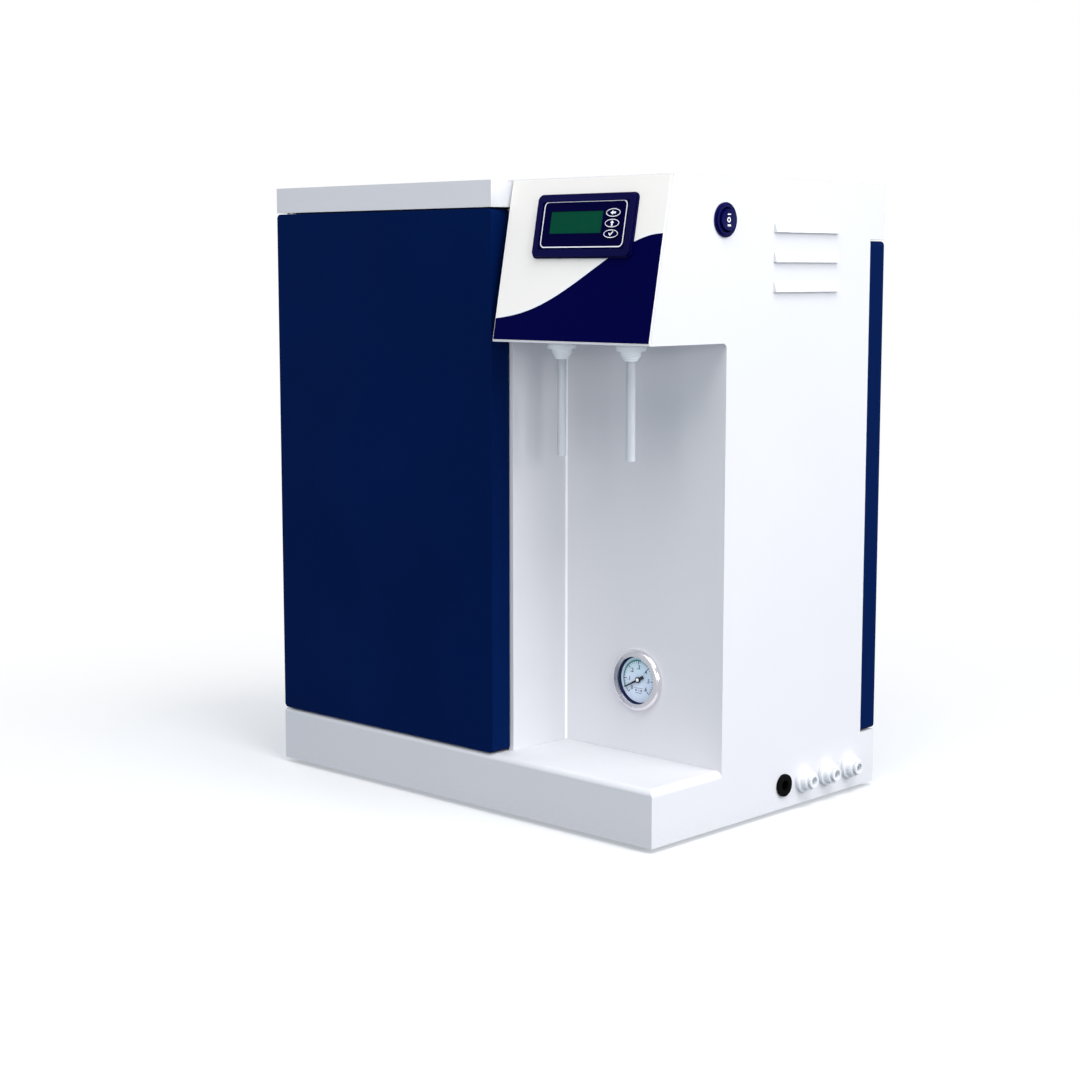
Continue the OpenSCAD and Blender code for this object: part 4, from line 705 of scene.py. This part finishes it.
def slot_fold():
    """The folded corner that closes the slot between the strip above the door and the head."""
    back, front, run, out = 18.5, 5.5, 12.6, 6.2
    stops = (0.0, 0.1, 0.2, 0.35, 0.5, 0.65, 0.8, 0.9, 1.0)
    face = [(DOOR_W + out * t ** 1.2, front + run * t) for t in stops]
    bm = bmesh.new()
    slab(bm, [[(DOOR_W, back)] + face + [(DOOR_W + out, back)]], BODY_H - CAP_H + 0.1, BODY_H - 1.6)
    piece("slot_fold", bm, "white", "cabinet", upright(0, 0, 0), smooth=35)


def nozzle_steps():
    """Turned steps on the nozzles' flanges and cones: each stands out over the one below it."""
    wall, top_edge, low_edge = 1.6, 0.15, 0.1
    # Radius, top and underside of each step, from the head's underside
    steps = [(11.1, -1.5, -4.7), (7.9, -5.2, -6.3), (7.8, -7.0, -8.0), (7.3, -8.7, -9.6),
             (6.2, -10.2, -11.1), (5.1, -11.7, -12.6)]
    for i, (x, y) in enumerate(NOZZLES):
        bm = bmesh.new()
        for r, top, low in steps:
            core = r - wall
            lathe(bm, [(core, top), (r - top_edge, top), (r, top - top_edge), (r, low + low_edge),
                       (r - low_edge, low), (core, low), (core, top)])
        piece("nozzle_steps_%d" % i, bm, "nozzle", "cabinet", upright(x, y, HEAD_Z),
              smooth=50)


def screw_recesses():
    """A black cross on each of the rear cover's screw heads: painted shade where a cross recess would be."""
    low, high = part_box("rear_cover_screws")
    head_r = 0.004
    arm, half = 2.4, 0.55
    cross = [(-half, -arm), (half, -arm), (half, -half), (arm, -half), (arm, half), (half, half),
             (half, arm), (-half, arm), (-half, half), (-arm, half), (-arm, -half), (-half, -half)]
    spots = [(x, z) for x in (low.x + head_r, high.x - head_r) for z in (low.z + head_r, high.z - head_r)]
    for i, (x, z) in enumerate(spots):
        bm = bmesh.new()
        # Painted shade: a solid black cross stands in for the dark of the screw's cross recess.
        slab(bm, [cross], -0.4, 0.02)
        piece("screw_cross_shade_%d" % i, bm, "black", "cabinet",
              axes(Vector((x, high.y, z)), (-1, 0, 0), (0, 0, 1)))


def grooves(start, pitch, count, width):
    """Moulded grooves round a cartridge, from the lowest up."""
    skin, bed, flank = SHELL_R - 0.2, SHELL_R - 1.4, 0.8
    points = []
    for k in range(count):
        z = start + pitch * k
        points += [(skin, z), (bed, z + flank), (bed, z + width - flank), (skin, z + width)]
    return points


def cartridge(name, x, node, mat):
    """A filter cartridge with moulded grooves, a shoulder and a bare label band."""
    r, low, top = SHELL_R, SHELL_LOW, SHELL_TOP
    profile = [(0, low), (r - 10, low), (r - 4, low + 1.6), (r - 0.6, low + 7), (r - 0.2, low + 12)]
    profile += grooves(low + 16, 6, 4, 3.0)
    profile += [(r - 0.2, top - 40)]
    profile += grooves(top - 34, 7, 3, 3.2)
    profile += [(r - 0.3, top - 8), (r - 4, top - 1.2), (r - 7, top)]
    profile += [(16, top), (15.8, top + 4), (15.8, NECK_TOP), (0, NECK_TOP)]
    bm = bmesh.new()
    lathe(bm, profile, 96)
    shell = piece(name + "_shell", bm, mat, "cabinet", upright(x, FILTER_Y, 0), smooth=28)
    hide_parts(node)
    label_low, label_top = 176.0, 310.0
    bm = bmesh.new()
    lathe(bm, [(r - 0.4, label_low), (r, label_low + 0.3), (r, label_top - 0.3), (r - 0.4, label_top)], 96)
    piece(name + "_label", bm, "label", "cabinet", upright(x, FILTER_Y, 0), smooth=28)


def make_floor():
    """A pale floor that turns to plain white away from the object, and throws no light back on it."""
    near, far, near_white = 0.28, 0.80, 0.25
    s = Shader("floor")
    s.colour(s.tones(s.noise(2.0, 3), (0.90, 0.905, 0.915), (0.915, 0.92, 0.93)))
    s.rough(s.span(s.noise(12, 3), 0.62, 0.72))
    s.put("Specular IOR Level", 0.2)
    reach = s.tree.nodes.new("ShaderNodeVectorMath")
    reach.operation = "LENGTH"
    s.link(s.coord, reach.inputs[0])
    glow = s.tree.nodes.new("ShaderNodeEmission")
    mix = s.tree.nodes.new("ShaderNodeMixShader")
    s.link(s.span(reach.outputs["Value"], near_white, 1.0, near, far), mix.inputs["Fac"])
    s.link(s.bsdf.outputs[0], mix.inputs[1])
    s.link(glow.outputs[0], mix.inputs[2])
    s.link(mix.outputs[0], s.tree.nodes["Material Output"].inputs["Surface"])
    bm = bmesh.new()
    bmesh.ops.create_grid(bm, x_segments=8, y_segments=8, size=9.0)
    data = bpy.data.meshes.new("floor")
    bm.to_mesh(data)
    bm.free()
    data.materials.append(s.mat)
    obj = bpy.data.objects.new("floor", data)
    obj.visible_diffuse = False
    obj.visible_glossy = False
    scene.collection.objects.link(obj)


make_camera()
make_studio()
dress_frame()
overlay_print()
meter_print()
switch_print()
gauge_details()
bay_bead()
slot_fold()
nozzle_steps()
screw_recesses()
cartridge("sediment", FILTER_X[0], "sediment_filter", "grey_shell")
cartridge("carbon", FILTER_X[1], "carbon_filter", "blue_shell")
cartridge("softener", FILTER_X[2], "softener_filter", "blue_shell")
make_floor()
